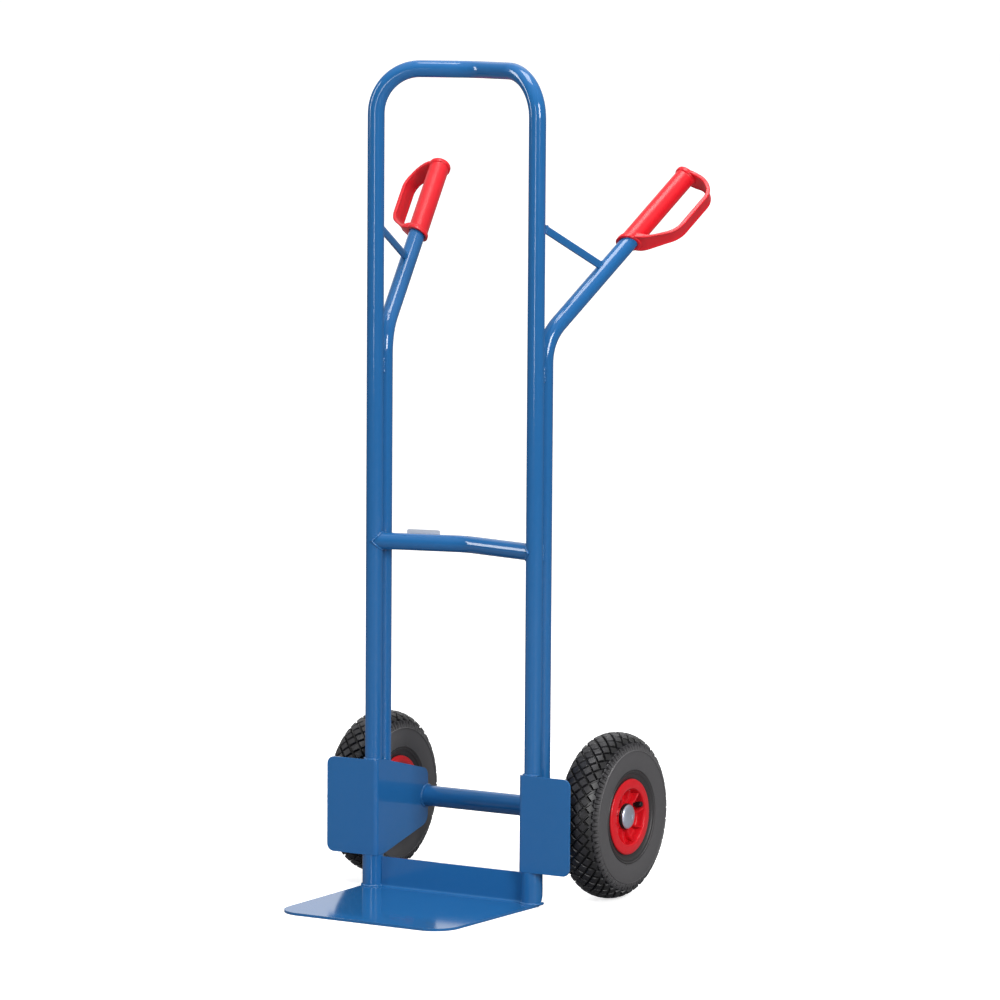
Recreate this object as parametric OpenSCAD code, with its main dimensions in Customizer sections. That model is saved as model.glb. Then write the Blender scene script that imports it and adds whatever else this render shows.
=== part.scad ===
// Two-wheeled stacking hand truck: a bent tube frame with a folded toe plate,
// splayed rear handles with guarded grips, and air-filled wheels on a fixed axle.
// Millimetres, +Z up. The load side faces -Y, the handles reach back to +Y.
// The origin is on the floor, at the middle of the whole truck's length and width.

/* [Frame] */
// Height of the hoop's top above the floor
frame_h = 1300; // [1100:10:1450]
// Distance between the centre lines of the uprights
upright_span = 292; // [260:2:340]
// Outside diameter of the frame tube
tube_d = 26.5; // [25:0.1:28]
// Wall thickness of the frame tube
tube_wall = 2.3; // [1.5:0.1:3]
// Centre-line radius of the two top corners
hoop_bend_r = 70; // [55:1:90]
// How far the middle of the top bar is set back
top_crank = 52; // [30:1:65]
// Height of the cross bar's centre line
cross_z = 550; // [450:5:700]
// How far the middle of the cross bar is set back
cross_crank = 38; // [20:1:55]
// Centre-line radius of the bend in the middle of both bars
crank_bend_r = 70; // [50:1:100]

/* [Handles] */
// Height at which the handle tubes turn back
handle_z = 877; // [780:1:960]
// Angle of the raised handle, measured from the vertical
handle_tilt = 51.3; // [40:0.1:60]
// Angle by which each handle points away from the middle
handle_splay = 15.75; // [8:0.25:20]
// Length of handle tube beyond the turning point
handle_reach = 386; // [340:1:430]
// Centre-line radius of the handle bend
handle_bend_r = 75; // [60:1:95]
// Height of the handle tube's lower end
handle_foot_z = 64; // [60:1:80]
// Height at which the strut leaves the upright
strut_z = 1047; // [1030:1:1080]
// How far along the raised handle the strut is welded
strut_reach = 165; // [140:1:190]
// Face width of the strut's flat bar
strut_h = 12; // [10:0.5:16]
// Thickness of the strut's flat bar
strut_t = 5; // [4:0.5:6]

/* [Grips] */
// Length of the grip from its lower collar to its closed end
grip_len = 160; // [130:0.5:165]
// Wall of the hand sleeve around the handle tube
grip_wall = 2.75; // [2:0.25:4]
// How far the end collars stand out from the sleeve
collar_step = 2.25; // [1.5:0.25:3]
// Distance from the sleeve's axis to the outside of the guard
guard_out = 60; // [54:0.5:65]
// Thickness of the guard strap
guard_t = 5.5; // [4:0.5:7]
// Width of the guard strap where it runs beside the sleeve
guard_w = 21; // [16:1:26]
// Roll of the guard about the sleeve, below level
guard_roll = 27; // [0:1:45]

/* [Toe plate] */
// Width of the toe plate at the uprights
toe_w = 320; // [300:2:360]
// How much each side of the toe plate narrows towards its front edge
toe_taper = 7; // [0:1:12]
// Reach of the toe plate in front of the uprights' centre plane
toe_depth = 271; // [200:1:320]
// Thickness of the toe plate
toe_t = 4; // [3:0.5:6]
// Radius of the toe plate's front corners
toe_corner_r = 42; // [20:1:50]
// Height of the upturned rear flange
toe_flange_h = 51; // [40:1:58]
// Wall of the sleeve around the foot of each upright
foot_wall = 3.4; // [2:0.2:4]

/* [Wheel brackets] */
// Thickness of the bracket plate
bracket_t = 3; // [2.5:0.5:4]
// Reach of the front leg beyond the upright's centre line
bracket_out = 76; // [65:1:85]
// Height of the bracket's lower edge
bracket_low = 54; // [45:1:58]
// Height of the bracket's upper edge
bracket_high = 205; // [190:1:230]
// How far the side leg runs on behind the axle's centre line
bracket_tail = 4; // [2:0.5:6]

/* [Wheels] */
// Outside diameter of the tyre
tyre_d = 260; // [250:1:280]
// Width of the tyre
tyre_w = 72; // [70:1:78]
// Distance from the upright's centre line to the middle of the tyre
wheel_out = 67; // [64:1:75]
// Clear gap between the bracket's front leg and the tyre
tyre_gap = 15.35; // [12:0.05:18]
// Diameter of the axle
axle_d = 20; // [18:0.5:22]
// Outside diameter of the tube around the axle
axle_tube_d = 33; // [32:0.1:34]
// Outside diameter of the rim flange
rim_d = 119; // [117:0.5:122]
// How far round both wheels have rolled
wheel_turn = 21; // [0:1:359]
// Number of curved ribs on each face of the rim
rib_count = 9; // [8:1:12]

/* [Type plate] */
// Length of the type plate
plate_len = 54; // [45:1:65]
// Height of the type plate
plate_h = 30; // [24:1:34]

/* [Output] */
// Sub-part to draw

/* [Hidden] */
$fn = 64;

blue = [0.13, 0.30, 0.55];
red = [0.80, 0.05, 0.08];
zinc = [0.75, 0.76, 0.78];
black = [0.06, 0.06, 0.06];
tyre_grey = [0.12, 0.12, 0.13];

seat_gap = 0.1;
fit_gap = 0.05;
lay_gap = 0.3;
seam = 0.02;

half_span = upright_span / 2;
tube_r = tube_d / 2;
bore_r = tube_r - tube_wall;
top_z = frame_h - tube_r;

handle_y = tube_d + lay_gap;
foot_r = tube_r + foot_wall;
sleeve_r = tube_r + grip_wall;
collar_r = sleeve_r + collar_step;
grip_bore_r = tube_r + fit_gap;
grip_start = handle_reach - grip_len + 4;

// Backward parts of the sleeve's direction and of the guard's two cross directions.
sleeve_y = sin(handle_tilt) * cos(handle_splay);
guard_y = sin(guard_roll) * cos(handle_tilt) * cos(handle_splay) - cos(guard_roll) * sin(handle_splay);
strap_y = sqrt(1 - pow(sleeve_y, 2) - pow(guard_y, 2));
strap_wide = collar_r - 1.5;
rear_reach = handle_y + sleeve_y * (grip_start + grip_len) + max(
  collar_r * sqrt(1 - pow(sleeve_y, 2)),
  14 * guard_y + strap_wide * strap_y,
  (guard_out - 20) * guard_y - 20 * sleeve_y + 20 * norm([guard_y, sleeve_y]) + guard_w / 2 * strap_y);
origin_back = (rear_reach - toe_depth) / 2;

bracket_front = -tube_r - seat_gap - bracket_t;
bracket_side = half_span - tube_r - seat_gap - bracket_t;
bracket_edge = half_span + bracket_out;
fold_r = 4;

tyre_r = tyre_d / 2;
half_tyre = tyre_w / 2;
axle_back = bracket_front + bracket_t + tyre_gap + tyre_r;
bracket_back = axle_back + bracket_tail;
axle_z = tyre_r;
axle_r = axle_d / 2;
wheel_x = half_span + wheel_out;
bore_gap = 0.05;
bead_r = 50.8;
rim_r = rim_d / 2;
flange_z = 33;
flange_t = 4.5;
web_t = 8;
hub_r = 20.5;
hub_out = 22;
hub_in = 37;
bush_r = axle_r + 5.2;
bush_flange = 1.5;
spin_gap = 0.2;
spacer_t = 2.5;
ring_t = 2.5;
hub_end_in = wheel_x - hub_in - bush_flange - spin_gap;
hub_end_out = wheel_x + hub_out + bush_flange + spin_gap;
axle_tube_end = hub_end_in - spacer_t;
axle_tube_r = axle_tube_d / 2;
cap_base = hub_end_out + ring_t;
axle_end = cap_base + 5;
rib_turn = 5;
bolt_pcd_r = 31;
bolt_count = 3;
bolt_turn = rib_turn + 76 - 180 / rib_count;
bolt_r = 3;
bolt_seat = web_t - 0.6;

// Corner helpers: a polygon with chosen corners turned into arcs.
function unit(v) = v / norm(v);
function turn(a) = a > 180 ? a - 360 : (a < -180 ? a + 360 : a);
function arc_corner(a, b, c, r, n) =
  let (
    u = unit(a - b),
    w = unit(c - b),
    half = acos(u * w) / 2,
    p = b + u * r / tan(half),
    q = b + w * r / tan(half),
    m = b + unit(u + w) * r / sin(half),
    a0 = atan2(p[1] - m[1], p[0] - m[0]),
    d = turn(atan2(q[1] - m[1], q[0] - m[0]) - a0)
  )
  [for (i = [0:n]) m + r * [cos(a0 + d * i / n), sin(a0 + d * i / n)]];
function rounded(pts, rad, n = 8) =
  [for (i = [0:len(pts) - 1])
    each (rad[i] > 0
      ? arc_corner(pts[(i + len(pts) - 1) % len(pts)], pts[i], pts[(i + 1) % len(pts)], rad[i], n)
      : [pts[i]])];

// A squared-off oval: used for the air space in the tyre.
function power(v, e) = v < 0 ? -pow(-v, e) : pow(v, e);
function oval(mid, high, wide, n) =
  [for (a = [0:7.5:352.5]) [mid + high * power(cos(a), 2 / n), wide * power(sin(a), 2 / n)]];

// Half width of the tyre at radius r: full at the sidewall, rounded to the crown.
side_r = tyre_r - 38;
function tyre_half(r) =
  r >= side_r
  ? half_tyre * pow(max(0, 1 - pow((r - side_r) / (tyre_r - side_r), 2.5)), 1 / 2.2)
  : half_tyre - (half_tyre - 28.2) * pow((side_r - r) / (side_r - 60.2), 2.2);
tyre_steps = [60.2, 64, 70, 78, 86, 94, 101, 107, 112, 116, 119, 121.5, 124, 126, 127.5, 128.7, 129.5];
tyre_rise = [for (s = tyre_steps) 60.2 + (s - 60.2) * (tyre_r - 60.2) / (130 - 60.2)];

// A straight length of tube along Z. Straights and bends meet at hairline seams.
module pipe(length) {
  difference() {
    cylinder(h = length, r = tube_r);
    cylinder(h = length, r = bore_r);
  }
}

module pipe_ring() {
  difference() {
    circle(tube_r);
    circle(bore_r);
  }
}

// A bend: starts upright at the origin and turns towards +X.
module bend(radius, angle) {
  translate([radius, 0, 0])
    mirror([1, 0, 0])
      rotate([90, 0, 0])
        rotate_extrude(angle = angle)
          translate([radius, 0])
            pipe_ring();
}

// A bar from one upright's axis to the start of the central bend.
module cranked_bar(crank, skip) {
  slope = atan(crank / half_span);
  reach = norm([half_span, crank]) - crank_bend_r * tan(slope);
  translate([half_span, 0, 0])
    rotate([0, 0, 180 - slope])
      translate([skip + seam, 0, 0])
        rotate([0, 90, 0])
          pipe(reach - skip - 2 * seam);
}

module crank_bend(crank) {
  slope = atan(crank / half_span);
  translate([0, crank - crank_bend_r / cos(slope), 0])
    rotate([0, 0, 90 - slope])
      rotate_extrude(angle = 2 * slope)
        translate([crank_bend_r, 0])
          pipe_ring();
}

module hoop_side() {
  slope = atan(top_crank / half_span);
  difference() {
    translate([half_span, 0, toe_t])
      pipe(top_z - hoop_bend_r - toe_t - seam);
    foot_cut();
  }
  translate([half_span, 0, top_z - hoop_bend_r])
    rotate([0, 0, 180 - slope])
      bend(hoop_bend_r, 90);
  translate([0, 0, top_z])
    cranked_bar(top_crank, hoop_bend_r);
}

// The feet are cut back at a slant behind the toe plate's rear edge.
module foot_cut() {
  translate([-half_span - 30, -toe_t / 2, toe_t])
    rotate([50, 0, 0])
      translate([0, 0, -40])
        cube([upright_span + 60, 60, 40]);
}

module main_hoop() {
  color(blue)
    union() {
      hoop_side();
      mirror([1, 0, 0])
        hoop_side();
      translate([0, 0, top_z])
        crank_bend(top_crank);
    }
}

// One half of the cross bar, its end shaped to the upright it meets.
module cross_half() {
  difference() {
    translate([0, 0, cross_z])
      cranked_bar(cross_crank, 5);
    translate([half_span, 0, cross_z - 40])
      cylinder(h = 80, r = tube_r + seat_gap);
    translate([half_span, handle_y, cross_z - 40])
      cylinder(h = 80, r = tube_r + seat_gap);
  }
}

// Type plate frame: X along the left half of the cross bar, Y to the rear.
module on_cross_left() {
  slope = atan(cross_crank / half_span);
  translate([-half_span, 0, cross_z])
    rotate([0, 0, slope])
      translate([76, 0, 0])
        children();
}

rivet_r = 1.6;
rivet_pitch = plate_len - 12;
module rivet_shanks(r) {
  for (s = [-1, 1])
    translate([s * rivet_pitch / 2, tube_r - tube_wall - 1.5, 0])
      rotate([-90, 0, 0])
        cylinder(h = tube_wall + 1.5 + lay_gap + 1.2, r = r);
}

module cross_bar() {
  color(blue)
    union() {
      cross_half();
      difference() {
        mirror([1, 0, 0])
          cross_half();
        on_cross_left()
          rivet_shanks(rivet_r + fit_gap);
      }
      translate([0, 0, cross_z])
        crank_bend(cross_crank);
    }
}

module type_plate() {
  color(zinc)
    on_cross_left()
      difference() {
        translate([0, tube_r + lay_gap, 3.5])
          rotate([-90, 0, 0])
            linear_extrude(1)
              polygon(rounded(
                [
                  [-plate_len / 2, -plate_h / 2],
                  [plate_len / 2, -plate_h / 2],
                  [plate_len / 2, plate_h / 2],
                  [-plate_len / 2, plate_h / 2]
                ],
                [3, 3, 3, 3], 4));
        rivet_shanks(rivet_r + fit_gap);
      }
}

module plate_rivets() {
  color(zinc)
    on_cross_left()
      for (s = [-1, 1])
        translate([s * rivet_pitch / 2, tube_r - tube_wall - 1.5, 0])
          rotate([-90, 0, 0])
            rotate_extrude()
              polygon([
                [0, 0],
                [rivet_r, 0],
                [rivet_r, tube_wall + 2.5 + lay_gap + fit_gap],
                [3.2, tube_wall + 2.5 + lay_gap + fit_gap],
                [2.2, tube_wall + 3.5 + lay_gap],
                [0, tube_wall + 3.8 + lay_gap]
              ]);
}

// Handle frame: X points back and outwards, Z is up, origin on the tube's axis.
module on_handle() {
  translate([half_span, handle_y, 0])
    rotate([0, 0, 90 - handle_splay])
      children();
}

module left_side() {
  mirror([1, 0, 0])
    children();
}

module handle_tube() {
  drop = handle_bend_r * tan(handle_tilt / 2);
  color(blue)
    on_handle()
      union() {
        translate([0, 0, handle_foot_z])
          pipe(handle_z - drop - handle_foot_z - seam);
        translate([0, 0, handle_z - drop])
          bend(handle_bend_r, handle_tilt);
        translate([0, 0, handle_z])
          rotate([0, handle_tilt, 0])
            translate([0, 0, drop + seam])
              pipe(handle_reach - drop - seam);
      }
}

module tube_plug() {
  color(black)
    on_handle()
      translate([0, 0, handle_foot_z - 2]) {
        cylinder(h = 2, r = tube_r);
        translate([0, 0, 1])
          cylinder(h = 13, r = bore_r - fit_gap);
      }
}

// Flat bar from the outer rear of the upright down to the handle tube.
module strut() {
  back = strut_reach * sin(handle_tilt);
  from = [half_span + 7, 10, strut_z + 1.5];
  to = [
    half_span + back * sin(handle_splay),
    handle_y + back * cos(handle_splay),
    handle_z + strut_reach * cos(handle_tilt)
  ];
  run = to - from;
  color(blue)
    difference() {
      translate(from)
        rotate([0, acos(run[2] / norm(run)), atan2(run[1], run[0])])
          translate([-strut_h / 2, -strut_t / 2, 0])
            cube([strut_h, strut_t, norm(run)]);
      translate([half_span, 0, strut_z - 60])
        cylinder(h = 120, r = tube_r + fit_gap);
      on_handle()
        translate([0, 0, handle_z])
          rotate([0, handle_tilt, 0]) {
            cylinder(h = handle_reach, r = tube_r + fit_gap);
            translate([0, -20, -60])
              cube([80, 40, handle_reach]);
          }
    }
}

// Short sleeve that stiffens the foot of the upright.
module foot_sleeve() {
  tall = bracket_low - seat_gap - toe_t;
  color(blue)
    difference() {
      translate([half_span, 0, toe_t])
        cylinder(h = tall, r = foot_r);
      translate([half_span, 0, toe_t - 1])
        cylinder(h = tall + 2, r = tube_r + fit_gap);
      foot_cut();
    }
}

// Grip frame: Z runs up the sleeve, X points to the guard's outer side.
module on_grip() {
  on_handle()
    translate([0, 0, handle_z])
      rotate([0, handle_tilt, 0])
        translate([0, 0, grip_start])
          rotate([0, 0, guard_roll - 90])
            children();
}

// The lower collar and the guard's lower leg are one band, slanted across the sleeve.
band_slope = 24;
band_t = 8.5;
function band(l) = l * tan(band_slope) - 5;

module band_plane(low, high) {
  translate([0, 25, 0])
    rotate([90, 0, 0])
      linear_extrude(50)
        polygon([
          [-25, band(-25) + low],
          [25, band(25) + low],
          [25, band(25) + high],
          [-25, band(-25) + high]
        ]);
}

module guard_outline() {
  difference() {
    polygon(rounded(
      [
        [0, band(0) + 0.8],
        [18, band(18) + 0.8],
        [guard_out, 44],
        [guard_out, grip_len],
        [0, grip_len]
      ],
      [0, 24, 34, 20, 0]));
    polygon(rounded(
      [
        [0, 13],
        [23, 13],
        [guard_out - guard_t, 48],
        [guard_out - guard_t, grip_len - guard_t],
        [0, grip_len - guard_t]
      ],
      [0, 14, 28, 14, 0]));
  }
}

// The strap is as wide as the collars at the sleeve and narrows outwards.
module guard_taper() {
  polygon([
    [0, -strap_wide],
    [14, -strap_wide],
    [guard_out - 18, -guard_w / 2],
    [guard_out + 5, -guard_w / 2],
    [guard_out + 5, guard_w / 2],
    [guard_out - 18, guard_w / 2],
    [14, strap_wide],
    [0, strap_wide]
  ]);
}

module grip() {
  color(red)
    on_grip()
      difference() {
        union() {
          intersection() {
            translate([0, 0, -30])
              cylinder(h = grip_len + 29, r = sleeve_r);
            band_plane(1.5, grip_len + 60);
          }
          intersection() {
            translate([0, 0, -30])
              cylinder(h = 60, r = collar_r);
            band_plane(0, band_t);
          }
          translate([0, 0, grip_len - 8])
            cylinder(h = 8, r = collar_r);
          intersection() {
            translate([0, 20, 0])
              rotate([90, 0, 0])
                linear_extrude(40)
                  guard_outline();
            translate([0, 0, -20])
              linear_extrude(grip_len + 40)
                guard_taper();
          }
        }
        translate([0, 0, -30])
          cylinder(h = grip_len + 30 - 3.9, r = grip_bore_r);
      }
}

// Toe plate: a flat sheet with a flange folded up between the uprights.
module toe_plate() {
  inner = half_span - foot_r - seat_gap;
  rear = toe_t / 2;
  front = toe_w / 2 - toe_taper;
  color(blue)
    union() {
      linear_extrude(toe_t)
        polygon(rounded(
          [
            [-front, -toe_depth],
            [front, -toe_depth],
            [toe_w / 2, rear],
            [inner, rear],
            [inner, rear - fold_r - toe_t],
            [-inner, rear - fold_r - toe_t],
            [-inner, rear],
            [-toe_w / 2, rear]
          ],
          [toe_corner_r, toe_corner_r, 4, 0, 0, 0, 0, 4]));
      translate([-inner, 0, 0])
        rotate([90, 0, 90])
          linear_extrude(2 * inner)
            polygon(rounded(
              [
                [rear - fold_r - toe_t - 1, 0],
                [rear, 0],
                [rear, toe_flange_h],
                [rear - toe_t, toe_flange_h],
                [rear - toe_t, toe_t],
                [rear - fold_r - toe_t - 1, toe_t]
              ],
              [0, fold_r + toe_t, 1, 1, fold_r, 0]));
    }
}

// Folded wheel bracket: one leg across the front, one leg back to the axle.
module bracket() {
  tall = bracket_high - bracket_low;
  side_face = bracket_side;
  color(blue)
    difference() {
      intersection() {
        translate([0, 0, bracket_low])
          linear_extrude(tall)
            polygon(rounded(
              [
                [side_face, bracket_front],
                [bracket_edge, bracket_front],
                [bracket_edge, bracket_front + bracket_t],
                [side_face + bracket_t, bracket_front + bracket_t],
                [side_face + bracket_t, bracket_back],
                [side_face, bracket_back]
              ],
              [fold_r + bracket_t, 0, 0, fold_r, 0, 0]));
        translate([side_face - 1, 0, 0])
          rotate([90, 0, 90])
            linear_extrude(bracket_edge - side_face + 2)
              polygon(rounded(
                [
                  [bracket_front - 1, bracket_low],
                  [4, bracket_low],
                  [bracket_back, axle_z - 43],
                  [bracket_back, axle_z + 42],
                  [4, bracket_high - 1],
                  [bracket_front + bracket_t, bracket_high],
                  [bracket_front - 1, bracket_high]
                ],
                [0, 20, 14, 12, 20, 0, 0]));
        translate([0, bracket_back + 1, 0])
          rotate([90, 0, 0])
            linear_extrude(bracket_back - bracket_front + 2)
              polygon(rounded(
                [
                  [side_face - 1, bracket_low],
                  [bracket_edge, bracket_low],
                  [bracket_edge, bracket_high],
                  [side_face - 1, bracket_high]
                ],
                [0, 12, 12, 0]));
      }
      translate([0, axle_back, axle_z])
        rotate([0, 90, 0])
          cylinder(h = wheel_x, r = axle_tube_r + seat_gap);
    }
}

// Tube around the axle, with a thick collar at each end.
module axle_tube() {
  color(blue)
    translate([-axle_tube_end, axle_back, axle_z])
      rotate([0, 90, 0])
        difference() {
          cylinder(h = 2 * axle_tube_end, r = axle_tube_r);
          translate([0, 0, -1])
            cylinder(h = 2 * axle_tube_end + 2, r = axle_r + fit_gap);
          translate([0, 0, 20])
            cylinder(h = 2 * axle_tube_end - 40, r = axle_tube_r - 2.9);
        }
}

module axle() {
  color(zinc)
    translate([-axle_end, axle_back, axle_z])
      rotate([0, 90, 0])
        rotate_extrude()
          polygon([
            [0, 0],
            [axle_r - 1, 0],
            [axle_r, 1],
            [axle_r, 2 * axle_end - 1],
            [axle_r - 1, 2 * axle_end],
            [0, 2 * axle_end]
          ]);
}

// Axle frame: Z points outboard along the axle, origin midway between the wheels.
module on_axle() {
  translate([0, axle_back, axle_z])
    rotate([0, 90, 0])
      children();
}

// Wheel frame: as the axle frame, origin at the middle of the tyre, rolled round with the wheel.
module on_wheel() {
  on_axle()
    translate([0, 0, wheel_x])
      rotate([0, 0, wheel_turn])
        children();
}

module spacer() {
  color(zinc)
    on_axle()
      translate([0, 0, axle_tube_end])
        difference() {
          cylinder(h = spacer_t, r = axle_tube_r - 1);
          translate([0, 0, -1])
            cylinder(h = spacer_t + 2, r = axle_r + fit_gap);
        }
}

module dust_ring() {
  color(black)
    on_axle()
      translate([0, 0, hub_end_out])
        difference() {
          cylinder(h = ring_t, r = hub_r);
          translate([0, 0, -1])
            cylinder(h = ring_t + 2, r = axle_r + fit_gap);
        }
}

// Pressed steel cap driven on to the end of the axle.
module hub_cap() {
  color(zinc)
    on_axle()
      translate([0, 0, cap_base])
        rotate_extrude()
          polygon([
            [axle_r + fit_gap, 0],
            [19, 0],
            [19, 1.8],
            [17, 3.6],
            [13.5, 5.2],
            [8, 7.2],
            [4.5, 7.6],
            [3.5, 7.2],
            [0, 7],
            [0, 5.2],
            [axle_r + fit_gap, 5.2]
          ]);
}

module tyre() {
  color(tyre_grey)
    on_wheel()
      rotate_extrude()
        difference() {
          polygon([
            [bead_r + 0.3, -26.8],
            [bead_r + 1.7, -28.2],
            for (r = tyre_rise) [r, -tyre_half(r)],
            [tyre_r, -6],
            [tyre_r, 6],
            for (i = [len(tyre_rise) - 1:-1:0]) [tyre_rise[i], tyre_half(tyre_rise[i])],
            [bead_r + 1.7, 28.2],
            [bead_r + 0.3, 26.8]
          ]);
          polygon(oval(tyre_r - 42, 36, half_tyre - 6, 2.5));
          translate([bead_r - 5, -18])
            square([14, 36]);
        }
}

// Valve: leaves the air tube through the rim's well, turns and points outboard.
stem_low = [bead_r + 2.5, 0, 13];
stem_mid = [35.8, 0, 13];
stem_end = [36, 0.4, 17];
cap_tip = [36.8, 2.4, 33];
stem_r = 3.2;

module rod_between(a, b, r) {
  d = b - a;
  translate(a)
    rotate([0, acos(d[2] / norm(d)), atan2(d[1], d[0])])
      cylinder(h = norm(d), r = r);
}

module inner_tube() {
  color(black)
    on_wheel()
      union() {
        rotate_extrude()
          difference() {
            polygon(oval(tyre_r - 42, 35.7, half_tyre - 6.3, 2.5));
            polygon(oval(tyre_r - 42, 33.7, half_tyre - 8.3, 2.5));
          }
        rotate([0, 0, 90]) {
          rod_between(stem_low, stem_mid, stem_r);
          translate(stem_mid)
            sphere(stem_r + 0.4);
          rod_between(stem_mid, stem_end, stem_r);
          translate(stem_end)
            sphere(stem_r + 0.4);
          rod_between(stem_end, stem_end + 0.5 * (cap_tip - stem_end), stem_r);
        }
      }
}

module valve_cap() {
  d = unit(cap_tip - stem_end);
  color(black)
    on_wheel()
      rotate([0, 0, 90])
        difference() {
          rod_between(stem_end + 4.4 * d, cap_tip, 4.6);
          rod_between(stem_end, stem_end + 0.5 * (cap_tip - stem_end) + 0.5 * d, stem_r + fit_gap);
        }
}

module rim_half(hub) {
  rotate_extrude()
    polygon([
      [bush_r + bore_gap, 0],
      [44, 0],
      [44, 13],
      [bead_r - 1, 17],
      [bead_r, 20],
      [bead_r, flange_z - flange_t - 1],
      [bead_r + 1, flange_z - flange_t],
      [rim_r - 1, flange_z - flange_t],
      [rim_r, flange_z - flange_t + 1.2],
      [rim_r, flange_z - 1.8],
      [rim_r - 1.8, flange_z],
      [bead_r - 2, flange_z],
      [bead_r - 4.8, flange_z - 2.5],
      [bead_r - 5.8, 18],
      [39.5, 14],
      [39.5, web_t],
      [hub_r, web_t],
      [hub_r, hub],
      [bush_r + bore_gap, hub]
    ]);
}

// Curved ribs between hub and barrel, each a slice of a thin ring.
module ribs(top) {
  for (i = [0:rib_count - 1])
    rotate([0, 0, i * 360 / rib_count + rib_turn])
      translate([26, 17, web_t - 0.5])
        rotate([0, 0, 110.5])
          rotate_extrude(angle = 64)
            translate([21.6, 0])
              square([2.4, top - web_t + 0.5]);
}

module bolt_holes(r, low, high) {
  for (i = [0:bolt_count - 1])
    rotate([0, 0, i * 360 / bolt_count + bolt_turn])
      translate([bolt_pcd_r, 0, low])
        cylinder(h = high - low, r = r);
}

module rim_outer() {
  color(red)
    on_wheel()
      difference() {
        union() {
          rim_half(hub_out);
          ribs(20);
        }
        bolt_holes(bolt_r + fit_gap, -1, 6.3);
        rotate([0, 0, 90])
          translate([36, 0, 13])
            rotate([0, 90, 0])
              cylinder(h = 20, r = stem_r + 0.5);
      }
}

module rim_inner() {
  color(red)
    on_wheel()
      mirror([0, 0, 1])
        difference() {
          union() {
            rim_half(hub_in);
            ribs(20);
          }
          bolt_holes(bolt_r + fit_gap, -1, web_t + 1);
          bolt_holes(7, bolt_seat, 30);
        }
}

module rim_bolts() {
  color(zinc)
    on_wheel()
      for (i = [0:bolt_count - 1])
        mirror([0, 0, 1])
          rotate([0, 0, i * 360 / bolt_count + bolt_turn])
            translate([bolt_pcd_r, 0, 0]) {
              translate([0, 0, -6])
                cylinder(h = bolt_seat + 7, r = bolt_r);
              translate([0, 0, bolt_seat])
                cylinder(h = 4, r = 5.7, $fn = 6);
            }
}

module bush(hub) {
  color(black)
    rotate_extrude()
      polygon([
        [axle_r + bore_gap, hub - 18],
        [bush_r, hub - 18],
        [bush_r, hub],
        [hub_r - 0.5, hub],
        [hub_r - 0.5, hub + bush_flange],
        [axle_r + bore_gap, hub + bush_flange]
      ]);
}

module bush_outer() {
  on_wheel()
    bush(hub_out);
}

module bush_inner() {
  on_wheel()
    mirror([0, 0, 1])
      bush(hub_in);
}

module placed() {
  translate([0, -origin_back, 0])
    children();
}

placed() main_hoop();
placed() cross_bar();
placed() toe_plate();
placed() axle_tube();
placed() axle();
placed() type_plate();
placed() plate_rivets();
placed() left_side() handle_tube();  // left_handle_tube
placed() handle_tube();  // right_handle_tube
placed() left_side() strut();  // left_strut
placed() strut();  // right_strut
placed() left_side() tube_plug();  // left_tube_plug
placed() tube_plug();  // right_tube_plug
placed() left_side() grip();  // left_grip
placed() grip();  // right_grip
placed() left_side() foot_sleeve();  // left_foot_sleeve
placed() foot_sleeve();  // right_foot_sleeve
placed() left_side() bracket();  // left_bracket
placed() bracket();  // right_bracket
placed() left_side() spacer();  // left_spacer
placed() spacer();  // right_spacer
placed() left_side() dust_ring();  // left_dust_ring
placed() dust_ring();  // right_dust_ring
placed() left_side() hub_cap();  // left_hub_cap
placed() hub_cap();  // right_hub_cap
placed() left_side() tyre();  // left_tyre
placed() tyre();  // right_tyre
placed() left_side() inner_tube();  // left_inner_tube
placed() inner_tube();  // right_inner_tube
placed() left_side() valve_cap();  // left_valve_cap
placed() valve_cap();  // right_valve_cap
placed() left_side() rim_outer();  // left_rim_outer
placed() rim_outer();  // right_rim_outer
placed() left_side() rim_inner();  // left_rim_inner
placed() rim_inner();  // right_rim_inner
placed() left_side() rim_bolts();  // left_rim_bolts
placed() rim_bolts();  // right_rim_bolts
placed() left_side() bush_outer();  // left_bush_outer
placed() bush_outer();  // right_bush_outer
placed() left_side() bush_inner();  // left_bush_inner
placed() bush_inner();  // right_bush_inner
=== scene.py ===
"""Hand truck: blue powder-coated tube frame, red guarded grips, block-tread tyres on red rims."""

import bmesh
import bpy
import math
import numpy as np
from mathutils import Matrix, Vector


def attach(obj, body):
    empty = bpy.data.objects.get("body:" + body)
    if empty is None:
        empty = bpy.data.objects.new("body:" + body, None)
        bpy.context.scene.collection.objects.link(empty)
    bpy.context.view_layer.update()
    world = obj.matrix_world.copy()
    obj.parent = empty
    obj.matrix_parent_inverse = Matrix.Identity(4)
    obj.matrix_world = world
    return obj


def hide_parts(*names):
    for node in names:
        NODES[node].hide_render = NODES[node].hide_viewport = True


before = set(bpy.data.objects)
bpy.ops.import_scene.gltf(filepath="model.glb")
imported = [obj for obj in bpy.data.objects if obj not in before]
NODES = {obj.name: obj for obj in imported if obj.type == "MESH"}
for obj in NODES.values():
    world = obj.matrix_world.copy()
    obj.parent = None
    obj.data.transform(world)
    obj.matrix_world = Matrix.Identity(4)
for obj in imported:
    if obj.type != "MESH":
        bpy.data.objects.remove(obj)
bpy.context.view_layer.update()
MM = 0.001
SIDES = (("left", -1.0), ("right", 1.0))

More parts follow.
